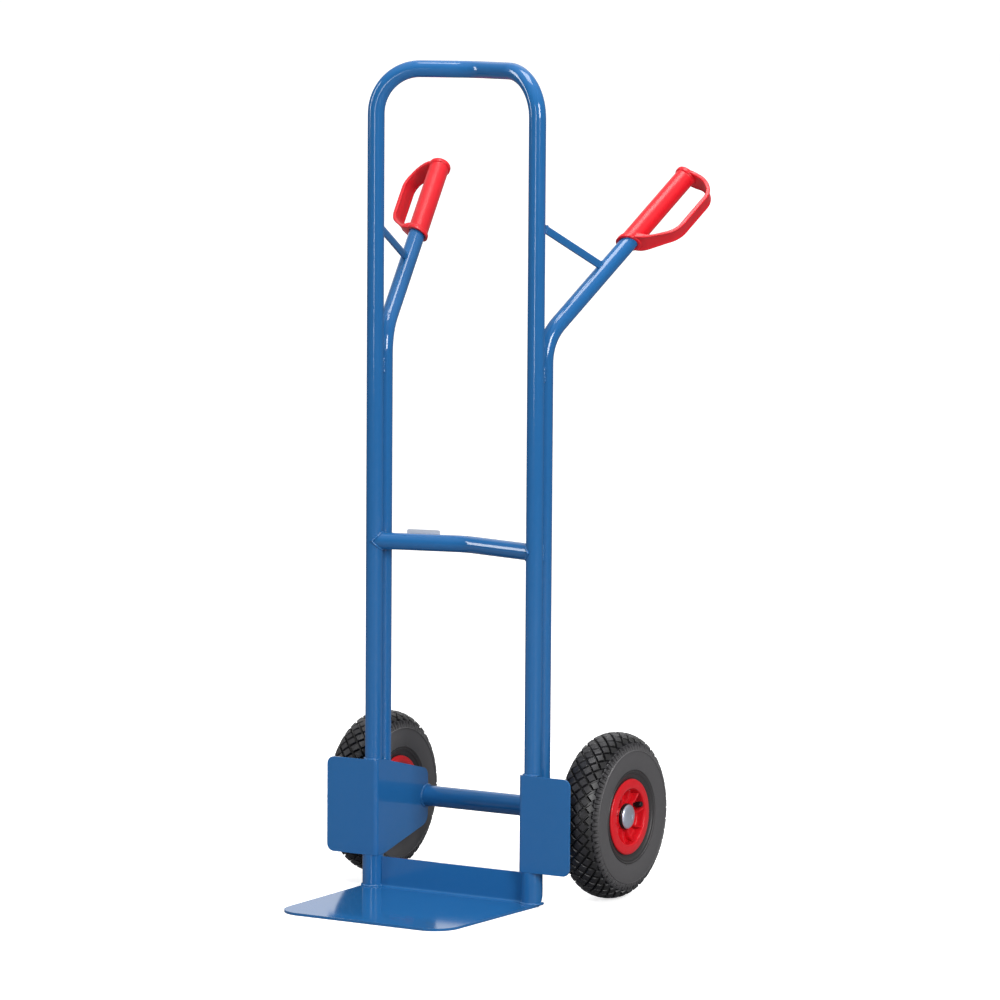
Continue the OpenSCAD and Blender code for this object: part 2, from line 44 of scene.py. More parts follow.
# ---------------------------------------------------------------- main sizes, in millimetres
BACK = 30.394  # the uprights' plane stands this far in front of the origin
HALF_SPAN = 146.0
TUBE_R = 13.25
TUBE_WALL = 2.3
TOP_Z = 1300.0 - TUBE_R
TOP_CRANK = 52.0
BEND_R = 70.0
CROSS_Z = 550.0
CROSS_CRANK = 38.0
HANDLE_Y = 26.8
HANDLE_Z = 877.0
HANDLE_FOOT = 64.0
TILT, SPLAY, ROLL = math.radians(51.3), math.radians(15.75), math.radians(27.0)
HANDLE_REACH = 386.0
HANDLE_BEND_R = 75.0
STRUT_REACH = 165.0
STRUT_HIGH, STRUT_THICK = 12.0, 5.0
GRIP_LEN = 160.0
GRIP_START = HANDLE_REACH - GRIP_LEN + 4.0
FOOT_R = 16.65
FOOT_WALL = 3.4
FOOT_TOP = 53.9
FOOT_SLOPE = math.tan(math.radians(50))  # the feet are cut on a plane rising to the rear
FOOT_CUT = 2.0  # the cut starts this far in front of the uprights
TOE_T, TOE_DEPTH, TOE_HALF, TOE_TAPER = 4.0, 271.0, 160.0, 7.0
BRACKET_T = 3.0
WHEEL_X, AXLE_Y, AXLE_Z = 213.0, 132.0, 130.0
AXLE_TUBE_R = 16.5
TYRE_R, TYRE_HALF = 130.0, 36.0


# ---------------------------------------------------------------- mesh helpers
def grid_faces(rows, cols, wrap_rows=False, wrap_cols=True, start=0):
    """Quads of a rows x cols grid of vertices numbered row by row, closed round either way if asked."""
    i = np.arange(rows if wrap_rows else rows - 1)
    j = np.arange(cols if wrap_cols else cols - 1)
    a, b = np.meshgrid(i, j, indexing="ij")
    c, d = (a + 1) % rows, (b + 1) % cols
    quads = np.stack([a * cols + b, a * cols + d, c * cols + d, c * cols + b], -1)
    return quads.reshape(-1, 4) + start


def fan(ring, centre):
    """Triangles from each edge of a ring of vertex numbers to one centre vertex."""
    ring = np.asarray(ring)
    return np.stack([ring, np.roll(ring, -1), np.full(len(ring), centre)], -1)


def make_piece(name, body, material, parts, replaces=(), sharp=35.0, bevel=None, solid=None,
               merge=False):
    """One object from a list of (points in mm, faces). Faces are turned outwards, then shaded smooth up to a
    set angle."""
    verts, faces, start = [], [], 0
    for points, quads in parts:
        verts.append(np.asarray(points, float).reshape(-1, 3))
        faces += [tuple(int(v) + start for v in q) for group in quads for q in np.atleast_2d(group).tolist()]
        start += len(verts[-1])
    points = np.concatenate(verts)
    points[:, 1] -= BACK
    mesh = bpy.data.meshes.new(name)
    mesh.from_pydata(points * MM, [], faces)
    if merge:
        work = bmesh.new()
        work.from_mesh(mesh)
        bmesh.ops.remove_doubles(work, verts=work.verts, dist=0.00002)
        bmesh.ops.recalc_face_normals(work, faces=work.faces)
        work.to_mesh(mesh)
        work.free()
    mesh.update()
    mesh.shade_smooth()
    mesh.set_sharp_from_angle(angle=math.radians(sharp))
    obj = bpy.data.objects.new(name, mesh)
    bpy.context.scene.collection.objects.link(obj)
    obj.data.materials.append(material)
    if solid:
        thick = obj.modifiers.new("sheet", "SOLIDIFY")
        thick.thickness = solid * MM
        thick.offset = 0.0
        thick.use_even_offset = True
    if bevel:
        edge = obj.modifiers.new("edges", "BEVEL")
        edge.width = bevel * MM
        edge.segments = 2
        edge.limit_method = "ANGLE"
        edge.angle_limit = math.radians(50)
        edge.harden_normals = True
    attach(obj, body)
    if replaces:
        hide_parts(*replaces)
    return obj


def outward(points, quads):
    """Faces turned so that the closed part's volume is positive."""
    p = np.asarray(points, float).reshape(-1, 3)
    volume = 0.0
    for group in quads:
        q = np.atleast_2d(group)
        for k in range(1, q.shape[1] - 1):
            volume += np.einsum("ij,ij->i", p[q[:, 0]], np.cross(p[q[:, k]], p[q[:, k + 1]])).sum()
    return [np.atleast_2d(g)[:, ::-1] for g in quads] if volume < 0 else quads


def part(points, quads):
    """One closed part, ready for make_piece."""
    return points, outward(points, quads)


def frames(path, ref, closed=False):
    """Tangent, normal and side direction at each point of a path; the normal stays as near ref as it can."""
    step = np.roll(path, -1, 0) - np.roll(path, 1, 0) if closed else np.gradient(path, axis=0)
    t = step / np.linalg.norm(step, axis=1, keepdims=True)
    ref = np.broadcast_to(np.asarray(ref, float), t.shape)
    n = ref - np.einsum("ij,ij->i", ref, t)[:, None] * t
    n /= np.linalg.norm(n, axis=1, keepdims=True)
    return t, n, np.cross(t, n)


def rounded_path(points, radii, step=4.0):
    """Straight runs joined by circular arcs of the given radii at the inner corners."""
    pts = np.asarray(points, float)
    out = [pts[:1]]
    for k in range(1, len(pts) - 1):
        u = (pts[k - 1] - pts[k]) / np.linalg.norm(pts[k - 1] - pts[k])
        w = (pts[k + 1] - pts[k]) / np.linalg.norm(pts[k + 1] - pts[k])
        half = math.acos(np.clip(u @ w, -1, 1)) / 2
        mid = pts[k] + (u + w) / np.linalg.norm(u + w) * radii[k - 1] / math.sin(half)
        a = pts[k] + u * radii[k - 1] / math.tan(half) - mid
        b = pts[k] + w * radii[k - 1] / math.tan(half) - mid
        turn = math.pi - 2 * half
        s = np.linspace(0, 1, max(3, int(math.degrees(turn) / step) + 1))[:, None]
        out.append(mid + (np.sin((1 - s) * turn) * a + np.sin(s * turn) * b) / math.sin(turn))
    out.append(pts[-1:])
    return np.concatenate(out)


def resample(path, count):
    """The same line at equal distances along it."""
    d = np.r_[0, np.cumsum(np.linalg.norm(np.diff(path, axis=0), axis=1))]
    s = np.linspace(0, d[-1], count)
    return np.stack([np.interp(s, d, path[:, k]) for k in range(path.shape[1])], -1)


def soften(points, times=2):
    """Corner cutting on an open line: each pass puts points at 1/4 and 3/4 of every leg and keeps both
    ends."""
    p = np.asarray(points, float)
    for _ in range(times):
        q = np.empty((2 * (len(p) - 1), p.shape[1]))
        q[0::2], q[1::2] = 0.75 * p[:-1] + 0.25 * p[1:], 0.25 * p[:-1] + 0.75 * p[1:]
        p = np.concatenate([p[:1], q, p[-1:]])
    return p


def pipe(path, radius, wall, ref, around=48, foot=False):
    """A tube: a circle of the outer radius and one of the inner radius carried along the path, joined at
    both ends. At a mitred foot the first ring is slid along the tube onto a plane that rises 50 degrees to
    the rear."""
    t, n, b = frames(path, ref)
    a = np.linspace(0, 2 * np.pi, around, endpoint=False)
    ring = np.cos(a)[None, :, None] * n[:, None] + np.sin(a)[None, :, None] * b[:, None]
    outer, inner = path[:, None] + radius * ring, path[:, None] + (radius - wall) * ring
    if foot:
        for wall_ring in (outer, inner):
            wall_ring[0, :, 2] = TOE_T + np.maximum(0, (wall_ring[0, :, 1] + FOOT_CUT) * FOOT_SLOPE)
    rows = len(path)
    size = rows * around
    quads = [grid_faces(rows, around), grid_faces(rows, around, start=size)[:, ::-1]]
    i = np.arange(around)
    j = (i + 1) % around
    last = (rows - 1) * around
    quads.append(np.stack([i, size + i, size + j, j], -1))
    quads.append(np.stack([last + i, last + j, size + last + j, size + last + i], -1))
    return part(np.concatenate([outer.reshape(-1, 3), inner.reshape(-1, 3)]), quads)


def bar(path, section, ref, scale=None, closed=False):
    """A solid bar: a closed section in the plane across the path, carried along it and scaled by station."""
    t, n, b = frames(path, ref, closed)
    scale = np.ones(len(path)) if scale is None else np.asarray(scale, float)
    sec = np.asarray(section, float)
    pts = path[:, None] + scale[:, None, None] * (sec[None, :, :1] * n[:, None] + sec[None, :, 1:]
                                                  * b[:, None])
    rows, around = len(path), len(sec)
    quads = [grid_faces(rows, around, wrap_rows=closed)]
    pts = pts.reshape(-1, 3)
    if not closed:
        pts = np.concatenate([pts, path[:1], path[-1:]])
        quads.append(fan(np.arange(around)[::-1], rows * around))
        quads.append(fan((rows - 1) * around + np.arange(around), rows * around + 1))
    return part(pts, quads)


def turned(profile, side, around=96, x0=0.0):
    """A lathe part about the axle's line. The profile is a list of (distance outboard, radius); a closed
    ring of points makes a ring, and radius 0 at both ends makes a solid."""
    p = np.asarray(profile, float)
    a = np.linspace(0, 2 * np.pi, around, endpoint=False)
    r = np.broadcast_to(p[:, 1:2], (len(p), around))
    pts = np.stack([
        np.broadcast_to(side * (x0 + p[:, :1]), r.shape),
        AXLE_Y + r * np.cos(a), AXLE_Z + r * np.sin(a)], -1).reshape(-1, 3)
    solid = p[0, 1] == 0 and p[-1, 1] == 0
    return part(pts, [grid_faces(len(p), around, wrap_rows=not solid)])


def circle(radius, count=12):
    """Points evenly round a circle."""
    a = np.linspace(0, 2 * np.pi, count, endpoint=False)
    return np.stack([radius * np.cos(a), radius * np.sin(a)], -1)


def rounded_box(wide, high, corner, count=4):
    """Section of a flat bar with rounded edges."""
    a = np.linspace(0, np.pi / 2, count)
    arc = corner * np.stack([np.cos(a), np.sin(a)], -1)
    c, s = wide / 2 - corner, high / 2 - corner
    quads = [(1, 1, arc), (-1, 1, arc[::-1]), (-1, -1, arc), (1, -1, arc[::-1])]
    return np.concatenate([np.array([sx * c, sy * s]) + q * np.array([sx, sy]) for sx, sy, q in quads])


# ---------------------------------------------------------------- shader helpers
def socket_group(name, inputs, outputs):
    """A new shader node group with float and colour sockets."""
    tree = bpy.data.node_groups.new(name, "ShaderNodeTree")
    kinds = {"f": "NodeSocketFloat", "c": "NodeSocketColor"}
    for label, kind, value in inputs:
        socket = tree.interface.new_socket(label, in_out="INPUT", socket_type=kinds[kind])
        socket.default_value = value
    for label, kind in outputs:
        tree.interface.new_socket(label, in_out="OUTPUT", socket_type=kinds[kind])
    return tree, tree.nodes.new("NodeGroupInput"), tree.nodes.new("NodeGroupOutput")


def math_node(tree, operation, a, b=None, clamp=False):
    """One Math node on two numbers or sockets, giving its output socket."""
    n = tree.nodes.new("ShaderNodeMath")
    n.operation = operation
    n.use_clamp = clamp
    for i, v in enumerate((a, b)):
        if v is None:
            continue
        if isinstance(v, (int, float)):
            n.inputs[i].default_value = v
        else:
            tree.links.new(v, n.inputs[i])
    return n.outputs[0]


def noise(tree, vector, scale, detail, roughness):
    """Noise from 0 to 1 at a place, at a number or socket for its scale."""
    n = tree.nodes.new("ShaderNodeTexNoise")
    n.inputs["Detail"].default_value = detail
    n.inputs["Roughness"].default_value = roughness
    if isinstance(scale, (int, float)):
        n.inputs["Scale"].default_value = scale
    else:
        tree.links.new(scale, n.inputs["Scale"])
    tree.links.new(vector, n.inputs["Vector"])
    return n.outputs["Fac"]


def ramp(tree, value, low, high, out_low=0.0, out_high=1.0):
    """A smooth step from out_low to out_high as the value goes from low to high."""
    n = tree.nodes.new("ShaderNodeMapRange")
    n.interpolation_type = "SMOOTHSTEP"
    for key, v in (("From Min", low), ("From Max", high), ("To Min", out_low), ("To Max", out_high)):
        if isinstance(v, (int, float)):
            n.inputs[key].default_value = v
        else:
            tree.links.new(v, n.inputs[key])
    tree.links.new(value, n.inputs["Value"])
    return n.outputs["Result"]


def mix(tree, factor, a, b):
    """Colour a where the factor is 0 and colour b where it is 1."""
    n = tree.nodes.new("ShaderNodeMix")
    n.data_type = "RGBA"
    for key, v in ((0, factor), (6, a), (7, b)):
        if isinstance(v, (int, float)):
            n.inputs[key].default_value = v
        elif isinstance(v, tuple):
            n.inputs[key].default_value = v
        else:
            tree.links.new(v, n.inputs[key])
    return n.outputs[2]


def surface_grain():
    """Colour drift, fine grain and settled dust for any finish, from Object coordinates."""
    tree, gin, gout = socket_group(
        "surface_grain",
        [("Base", "c", (0.5, 0.5, 0.5, 1)), ("Drift", "f", 0.08), ("Drift Scale", "f", 9.0),
         ("Dust", "f", 0.05), ("Dust Colour", "c", (0.45, 0.43, 0.40, 1)), ("Roughness", "f", 0.3),
         ("Roughness Drift", "f", 0.06),
         ("Grain Scale", "f", 900.0)],
        [("Color", "c"), ("Roughness", "f"), ("Grain", "f")])
    coords = tree.nodes.new("ShaderNodeTexCoord").outputs["Object"]
    drift = noise(tree, coords, gin.outputs["Drift Scale"], 4.0, 0.55)
    fine = noise(tree, coords, gin.outputs["Grain Scale"], 2.0, 0.6)
    speck = noise(tree, coords, 60.0, 6.0, 0.7)
    shade = math_node(tree, "MULTIPLY", math_node(tree, "SUBTRACT", drift, 0.5), gin.outputs["Drift"])
    bright = math_node(tree, "ADD", 1.0, math_node(tree, "MULTIPLY", shade, 2.0))
    scale = tree.nodes.new("ShaderNodeVectorMath")
    scale.operation = "SCALE"
    tree.links.new(gin.outputs["Base"], scale.inputs[0])
    tree.links.new(bright, scale.inputs["Scale"])
    normal = tree.nodes.new("ShaderNodeNewGeometry").outputs["Normal"]
    split = tree.nodes.new("ShaderNodeSeparateXYZ")
    tree.links.new(normal, split.inputs[0])
    up = ramp(tree, split.outputs["Z"], 0.2, 1.0)
    cover = math_node(tree, "MULTIPLY", ramp(tree, speck, 0.42, 0.72), math_node(tree, "ADD", 0.3, up))
    dust = math_node(tree, "MULTIPLY", cover, gin.outputs["Dust"], clamp=True)
    tree.links.new(mix(tree, dust, scale.outputs[0], gin.outputs["Dust Colour"]), gout.inputs["Color"])
    wave = math_node(tree, "MULTIPLY", math_node(tree, "SUBTRACT", drift, 0.5),
                     gin.outputs["Roughness Drift"])
    rough = math_node(tree, "ADD", gin.outputs["Roughness"], math_node(tree, "MULTIPLY", wave, 2.0))
    rough = math_node(tree, "ADD", rough, math_node(tree, "MULTIPLY", dust, 0.4), clamp=True)
    tree.links.new(rough, gout.inputs["Roughness"])
    tree.links.new(fine, gout.inputs["Grain"])
    return tree


GRAIN = surface_grain()


def finish_material(name, base, drift=0.06, drift_scale=9.0, dust=0.05, dust_colour=(0.45, 0.43, 0.40),
                    rough=0.3, rough_drift=0.05, grain_scale=900.0, bump=0.02, bump_distance=0.00005,
                    metallic=0.0, specular=0.5, extra=None):
    """A Principled finish whose colour, roughness and fine relief come from the shared grain group."""
    mat = bpy.data.materials.new(name)
    mat.use_nodes = True
    tree = mat.node_tree
    shader = tree.nodes["Principled BSDF"]
    group = tree.nodes.new("ShaderNodeGroup")
    group.node_tree = GRAIN
    group.label = name + " grain"
    group.inputs["Base"].default_value = (*base, 1)
    for key, value in (("Drift", drift), ("Drift Scale", drift_scale), ("Dust", dust), ("Roughness", rough),
                       ("Roughness Drift", rough_drift), ("Grain Scale", grain_scale)):
        group.inputs[key].default_value = value
    group.inputs["Dust Colour"].default_value = (*dust_colour, 1)
    relief = tree.nodes.new("ShaderNodeBump")
    relief.inputs["Strength"].default_value = bump
    relief.inputs["Distance"].default_value = bump_distance
    colour, roughness, height = group.outputs["Color"], group.outputs["Roughness"], group.outputs["Grain"]
    if extra:
        colour, roughness, height = extra(tree, colour, roughness, height)
    tree.links.new(height, relief.inputs["Height"])
    tree.links.new(colour, shader.inputs["Base Color"])
    tree.links.new(roughness, shader.inputs["Roughness"])
    tree.links.new(relief.outputs["Normal"], shader.inputs["Normal"])
    shader.inputs["Metallic"].default_value = metallic
    shader.inputs["Specular IOR Level"].default_value = specular
    return mat


def wheel_coords(tree):
    """Distance from the axle and angle round it, in metres and radians, from Object coordinates."""
    split = tree.nodes.new("ShaderNodeSeparateXYZ")
    tree.links.new(tree.nodes.new("ShaderNodeTexCoord").outputs["Object"], split.inputs[0])
    y = math_node(tree, "SUBTRACT", split.outputs["Y"], (AXLE_Y - BACK) * MM)
    z = math_node(tree, "SUBTRACT", split.outputs["Z"], AXLE_Z * MM)
    square = math_node(tree, "ADD", math_node(tree, "MULTIPLY", y, y), math_node(tree, "MULTIPLY", z, z))
    return math_node(tree, "SQRT", square), math_node(tree, "ARCTAN2", z, y)


SIDEWALL_GREY = (0.080, 0.078, 0.081, 1)
BEAD_GREY = (0.030, 0.029, 0.030, 1)
BEAD_LINE = (0.016, 0.016, 0.017, 1)
# Near-black painted shade for the floors of the tread's grooves.
GROOVE_PAINTED_SHADE = (0.008, 0.008, 0.0085, 1)


def tyre_tones_and_groove_shade(tree, colour, roughness, height):
    """Sidewalls are greyer and duller than the tread and darker beside the rim, with a dark line round the
    bead and fine moulded ticks near their outer edge. The floors of the tread's grooves get painted shade,
    near black. Radii are in metres."""
    radius, angle = wheel_coords(tree)
    side = ramp(tree, radius, 0.1185, 0.1045)
    ticks = math_node(tree, "SINE", math_node(tree, "MULTIPLY", angle, 220.0))
    band = math_node(tree, "MULTIPLY", ramp(tree, radius, 0.094, 0.097), ramp(tree, radius, 0.1035, 0.101))
    ticks = math_node(tree, "MULTIPLY", math_node(tree, "MULTIPLY", ticks, band), 0.5)
    rings = math_node(tree, "SINE", math_node(tree, "MULTIPLY", radius, 4200.0))
    rings = math_node(tree, "MULTIPLY", math_node(tree, "MULTIPLY", rings, side), 0.12)
    shade = mix(tree, side, colour, SIDEWALL_GREY)
    bead_band = ramp(tree, radius, 0.0735, 0.0700)
    shade = mix(tree, bead_band, shade, BEAD_GREY)
    line = math_node(tree, "MULTIPLY", ramp(tree, radius, 0.0718, 0.0724), ramp(tree, radius, 0.0742, 0.0735))
    shade = mix(tree, line, shade, BEAD_LINE)
    # Painted shade: the groove floors between the tread blocks are coloured near black.
    groove = math_node(tree, "MULTIPLY", ramp(tree, radius, 0.1275, 0.1215), ramp(tree, radius, 0.116, 0.119))
    shade = mix(tree, groove, shade, GROOVE_PAINTED_SHADE)
    relief = math_node(tree, "ADD", height, math_node(tree, "ADD", ticks, rings))
    return shade, math_node(tree, "ADD", roughness, math_node(tree, "MULTIPLY", side, 0.06)), relief


PAINT = finish_material("blue_powder_coat", (0.016, 0.122, 0.330), drift=0.02, dust=0.015, rough=0.10,
                        rough_drift=0.02, grain_scale=260.0, bump=0.06, bump_distance=0.00003, specular=0.5)
GRIP_RED = finish_material("red_grip_plastic", (0.68, 0.010, 0.020), drift=0.05, dust=0.015, rough=0.34,
                           grain_scale=1500.0, bump=0.18, bump_distance=0.00004, specular=0.40)
RIM_RED = finish_material("red_rim_plastic", (0.66, 0.008, 0.016), drift=0.05, dust=0.015, rough=0.32,
                          grain_scale=1100.0, bump=0.12, bump_distance=0.00004, specular=0.35)
# The tyre's finish includes painted shade on the floors of the tread's grooves.
TYRE = finish_material("tyre_rubber", (0.010, 0.010, 0.013), drift=0.14, drift_scale=34.0, dust=0.10,
                       dust_colour=(0.10, 0.097, 0.098), rough=0.42, rough_drift=0.10, grain_scale=1400.0,
                       bump=0.30, bump_distance=0.00010, specular=0.50, extra=tyre_tones_and_groove_shade)
TUBE_RUBBER = finish_material("inner_tube_rubber", (0.012, 0.012, 0.012), dust=0.08, rough=0.6, bump=0.2)
BLACK = finish_material("black_plastic", (0.006, 0.006, 0.007), drift=0.1, dust=0.01, rough=0.30,
                        grain_scale=1800.0, bump=0.12, bump_distance=0.00004, specular=0.35)
ZINC = finish_material("zinc_plate", (0.60, 0.65, 0.76), drift=0.16, drift_scale=45.0, dust=0.03, rough=0.36,
                       rough_drift=0.12, grain_scale=2200.0, bump=0.10, metallic=0.85)
STEEL = finish_material("drawn_steel", (0.52, 0.52, 0.53), drift=0.08, drift_scale=40.0, dust=0.05,
                        rough=0.32, rough_drift=0.08, grain_scale=1600.0, bump=0.12, metallic=1.0)
PLATE = finish_material("type_plate_metal", (0.70, 0.72, 0.76), drift=0.05, drift_scale=50.0, dust=0.05,
                        rough=0.38, rough_drift=0.06, grain_scale=2600.0, bump=0.10, metallic=0.55)

# ---------------------------------------------------------------- tube frame
ALONG_Y = (0, 1, 0)
hoop_points = [(-HALF_SPAN, 0, TOE_T), (-HALF_SPAN, 0, TOP_Z), (0, TOP_CRANK, TOP_Z), (HALF_SPAN, 0, TOP_Z),
               (HALF_SPAN, 0, TOE_T)]
hoop_path = rounded_path(hoop_points, [BEND_R, BEND_R, BEND_R])


def hoop():
    """The tube carried round the whole hoop; both feet's end rings slide onto the mitre plane."""
    points, quads = pipe(hoop_path, TUBE_R, TUBE_WALL, ALONG_Y)
    around = 48
    rows = len(hoop_path)
    for start in (0, rows * around):
        for row in (0, rows - 1):
            ring = slice(start + row * around, start + (row + 1) * around)
            points[ring, 2] = TOE_T + np.maximum(0, (points[ring, 1] + FOOT_CUT) * FOOT_SLOPE)
    return points, quads


make_piece("hoop_tube", "frame", PAINT, [hoop()], ["main_hoop"])

cross_ends = [(-HALF_SPAN, 0, CROSS_Z), (0, CROSS_CRANK, CROSS_Z), (HALF_SPAN, 0, CROSS_Z)]
cross_path = rounded_path(cross_ends, [BEND_R])
cross_path[0] += (cross_path[1] - cross_path[0]) * 4.0 / np.linalg.norm(cross_path[1] - cross_path[0])
cross_path[-1] += (cross_path[-2] - cross_path[-1]) * 4.0 / np.linalg.norm(cross_path[-2] - cross_path[-1])
make_piece("cross_tube", "frame", PAINT, [pipe(cross_path, TUBE_R, TUBE_WALL, ALONG_Y)],
           ["cross_bar"])

BACKWARD = np.array([math.sin(SPLAY), math.cos(SPLAY), 0.0])
HANDLE_DIR = math.sin(TILT) * BACKWARD + np.array([0, 0, math.cos(TILT)])
HANDLE_TURN = np.array([HALF_SPAN, HANDLE_Y, HANDLE_Z])
ACROSS = np.array([math.cos(SPLAY), -math.sin(SPLAY), 0.0])
handle_path = rounded_path([(HALF_SPAN, HANDLE_Y, HANDLE_FOOT), HANDLE_TURN,
                            HANDLE_TURN + HANDLE_DIR * HANDLE_REACH],
                           [HANDLE_BEND_R])
foot_path = np.array([[HALF_SPAN, 0, TOE_T], [HALF_SPAN, 0, 30.0], [HALF_SPAN, 0, FOOT_TOP]])

strut_from = np.array([HALF_SPAN + 7.0, 10.0, 1048.5])
strut_to = HANDLE_TURN + HANDLE_DIR * STRUT_REACH


for name, side in SIDES:
    flip = np.array([side, 1, 1])
    make_piece(name + "_handle", "frame", PAINT,
               [pipe(handle_path * flip, TUBE_R, TUBE_WALL, ACROSS * flip)], [name + "_handle_tube"])
    make_piece(name + "_foot", "frame", PAINT,
               [pipe(foot_path * flip, FOOT_R, FOOT_WALL, ALONG_Y, foot=True)], [name + "_foot_sleeve"],
               bevel=0.5)
    run = np.stack([strut_from, strut_to]) * flip
    level = np.cross(run[1] - run[0], (0, 0, 1))
    make_piece(name + "_strut_bar", "frame", PAINT,
               [bar(np.linspace(run[0], run[1], 8), rounded_box(STRUT_THICK, STRUT_HIGH, 1.0), level)],
               [name + "_strut"])

axle_end = WHEEL_X - 37 - 1.5 - 0.2 - 2.5
tube_profile = [(-axle_end, 10.2), (-axle_end, 16.0), (-axle_end + 0.5, AXLE_TUBE_R),
                (-axle_end + 20, AXLE_TUBE_R),
                (axle_end - 20, AXLE_TUBE_R), (axle_end - 0.5, AXLE_TUBE_R), (axle_end, 16.0),
                (axle_end, 10.2)]
make_piece("axle_sleeve", "frame", PAINT, [turned(tube_profile, 1, 64)], ["axle_tube"])


# ---------------------------------------------------------------- folded sheet parts
def corner_drop(distance, radius):
    """How far a rounded corner cuts in, at a distance from the edge: radius minus the circle's height
    there."""
    inside = np.clip(radius - distance, 0, radius)
    return radius - np.sqrt(np.maximum(radius ** 2 - inside ** 2, 0))


def bracket_sheet(side):
    """Middle surface of the folded bracket. One parameter runs from the front leg's outer edge, round the
    fold, to the side leg's rear edge; the other runs from the lower edge to the upper edge, whose heights
    follow the sloping edges and the rounded corners."""
    fold, x_out, y_front, x_side, y_rear = 5.5, 222.0, -14.85, 131.15, 136.0
    edge = 1 - np.cos(np.linspace(0, np.pi / 2, 9))
    x = np.r_[x_out - 12 * edge, np.linspace(x_out - 24, x_side + fold + 1, 6)]
    a = np.linspace(0, np.pi / 2, 9)
    y = np.r_[np.linspace(y_front + fold + 1, y_rear - 26, 9), y_rear - 14 * edge[::-1]]
    px = np.r_[x, x_side + fold - fold * np.sin(a), np.full(len(y), x_side)]
    py = np.r_[np.full(len(x), y_front), y_front + fold - fold * np.cos(a), y]
    low = 54 + np.maximum(0, py - 4) * 0.25
    high = 205 - np.maximum(0, py - 4) * 0.242
    low += corner_drop(x_out - px, 12.0) + corner_drop(y_rear - py, 14.0)
    high -= corner_drop(x_out - px, 12.0) + corner_drop(y_rear - py, 12.0)
    v = np.linspace(0, 1, 13)[None, :]
    pz = low[:, None] * (1 - v) + high[:, None] * v
    pts = np.stack([np.broadcast_to(side * px[:, None], pz.shape), np.broadcast_to(py[:, None], pz.shape),
                    pz], -1)
    return pts.reshape(-1, 3), [grid_faces(len(px), 13, wrap_cols=False)]


def toe_sheet():
    """Middle surface of the toe plate. Across the plate x is a fraction times the half width, which widens
    to the rear and closes in a quarter circle at each front corner; between the feet the sheet goes on round
    the fold and up the flange."""
    inner, bend_y, rear, corner = 129.2, -6.0, TOE_T / 2, 42.0
    front_edge = 1 - np.cos(np.linspace(0, np.pi / 2, 17))
    y = np.r_[-TOE_DEPTH + corner * front_edge, np.linspace(-TOE_DEPTH + corner, bend_y, 12)[1:]]

    def half(q):
        """Half the plate's width at a distance q behind the uprights' plane."""
        plain = TOE_HALF - TOE_TAPER * (rear - q) / (rear + TOE_DEPTH)
        return plain - corner_drop(q + TOE_DEPTH, corner)

    split = inner / half(np.array([bend_y]))[0]
    u = np.r_[np.linspace(-1, -split, 3), np.linspace(-split, split, 17)[1:-1], np.linspace(split, 1, 3)]
    flat = np.stack([half(y)[:, None] * u[None, :], np.repeat(y[:, None], len(u), 1),
                     np.full((len(y), len(u)), TOE_T / 2)], -1)
    parts = [(flat.reshape(-1, 3), [grid_faces(len(y), len(u), wrap_cols=False)])]
    a = np.linspace(0, np.pi / 2, 9)
    fy = np.r_[bend_y + 6 * np.sin(a), np.zeros(6)]
    fz = np.r_[TOE_T / 2 + 6 - 6 * np.cos(a), np.linspace(8, 51, 7)[1:]]
    ux = np.linspace(-inner, inner, 17)
    wall = np.stack([np.broadcast_to(ux[None, :], (len(fy), 17)), np.repeat(fy[:, None], 17, 1),
                     np.repeat(fz[:, None], 17, 1)], -1)
    parts.append((wall.reshape(-1, 3), [grid_faces(len(fy), 17, wrap_cols=False)]))
    for s in (-1, 1):
        wy = np.array([bend_y, -2.0, rear - 3.0, rear])
        edge = half(wy) - corner_drop(rear - wy, 3.0)
        base = half(np.array([bend_y]))[0]
        w = np.stack([np.full(4, inner), 0.5 * (inner + edge), edge], -1)
        w[0] = [inner, 0.5 * (inner + base), base]
        wing = np.stack([s * w, np.repeat(wy[:, None], 3, 1), np.full((4, 3), TOE_T / 2)], -1)
        parts.append((wing.reshape(-1, 3), [grid_faces(4, 3, wrap_cols=False)]))
    return parts


make_piece("toe_sheet", "frame", PAINT, toe_sheet(), ["toe_plate"], sharp=40, bevel=0.5,
           solid=TOE_T, merge=True)
for name, side in SIDES:
    make_piece(name + "_bracket_sheet", "frame", PAINT, [bracket_sheet(side)],
               [name + "_bracket"], sharp=40, bevel=0.5, solid=BRACKET_T, merge=True)


# ---------------------------------------------------------------- weld beads
def bead(path, radius=2.0, closed=False, ref=(0.3, 0.2, 0.9)):
    """A weld bead: a small round section along the joint, swelling and shrinking by a tenth every 2.4 mm."""
    length = np.r_[0, np.cumsum(np.linalg.norm(np.diff(path, axis=0), axis=1))]
    count = max(12, int(length[-1] / 0.8))
    line = resample(np.concatenate([path, path[:1]]) if closed else path, count + (1 if closed else 0))
    if closed:
        line = line[:-1]
    d = np.r_[0, np.cumsum(np.linalg.norm(np.diff(line, axis=0), axis=1))]
    swell = 1 + 0.10 * np.sin(2 * np.pi * d / 2.4) + 0.06 * np.sin(2 * np.pi * d / 9.1 + 1.0)
    if not closed:
        swell = swell * np.clip(np.minimum(d, d[-1] - d) / 1.5 + 0.35, 0, 1)
    return bar(line, circle(radius, 8), ref, swell, closed)


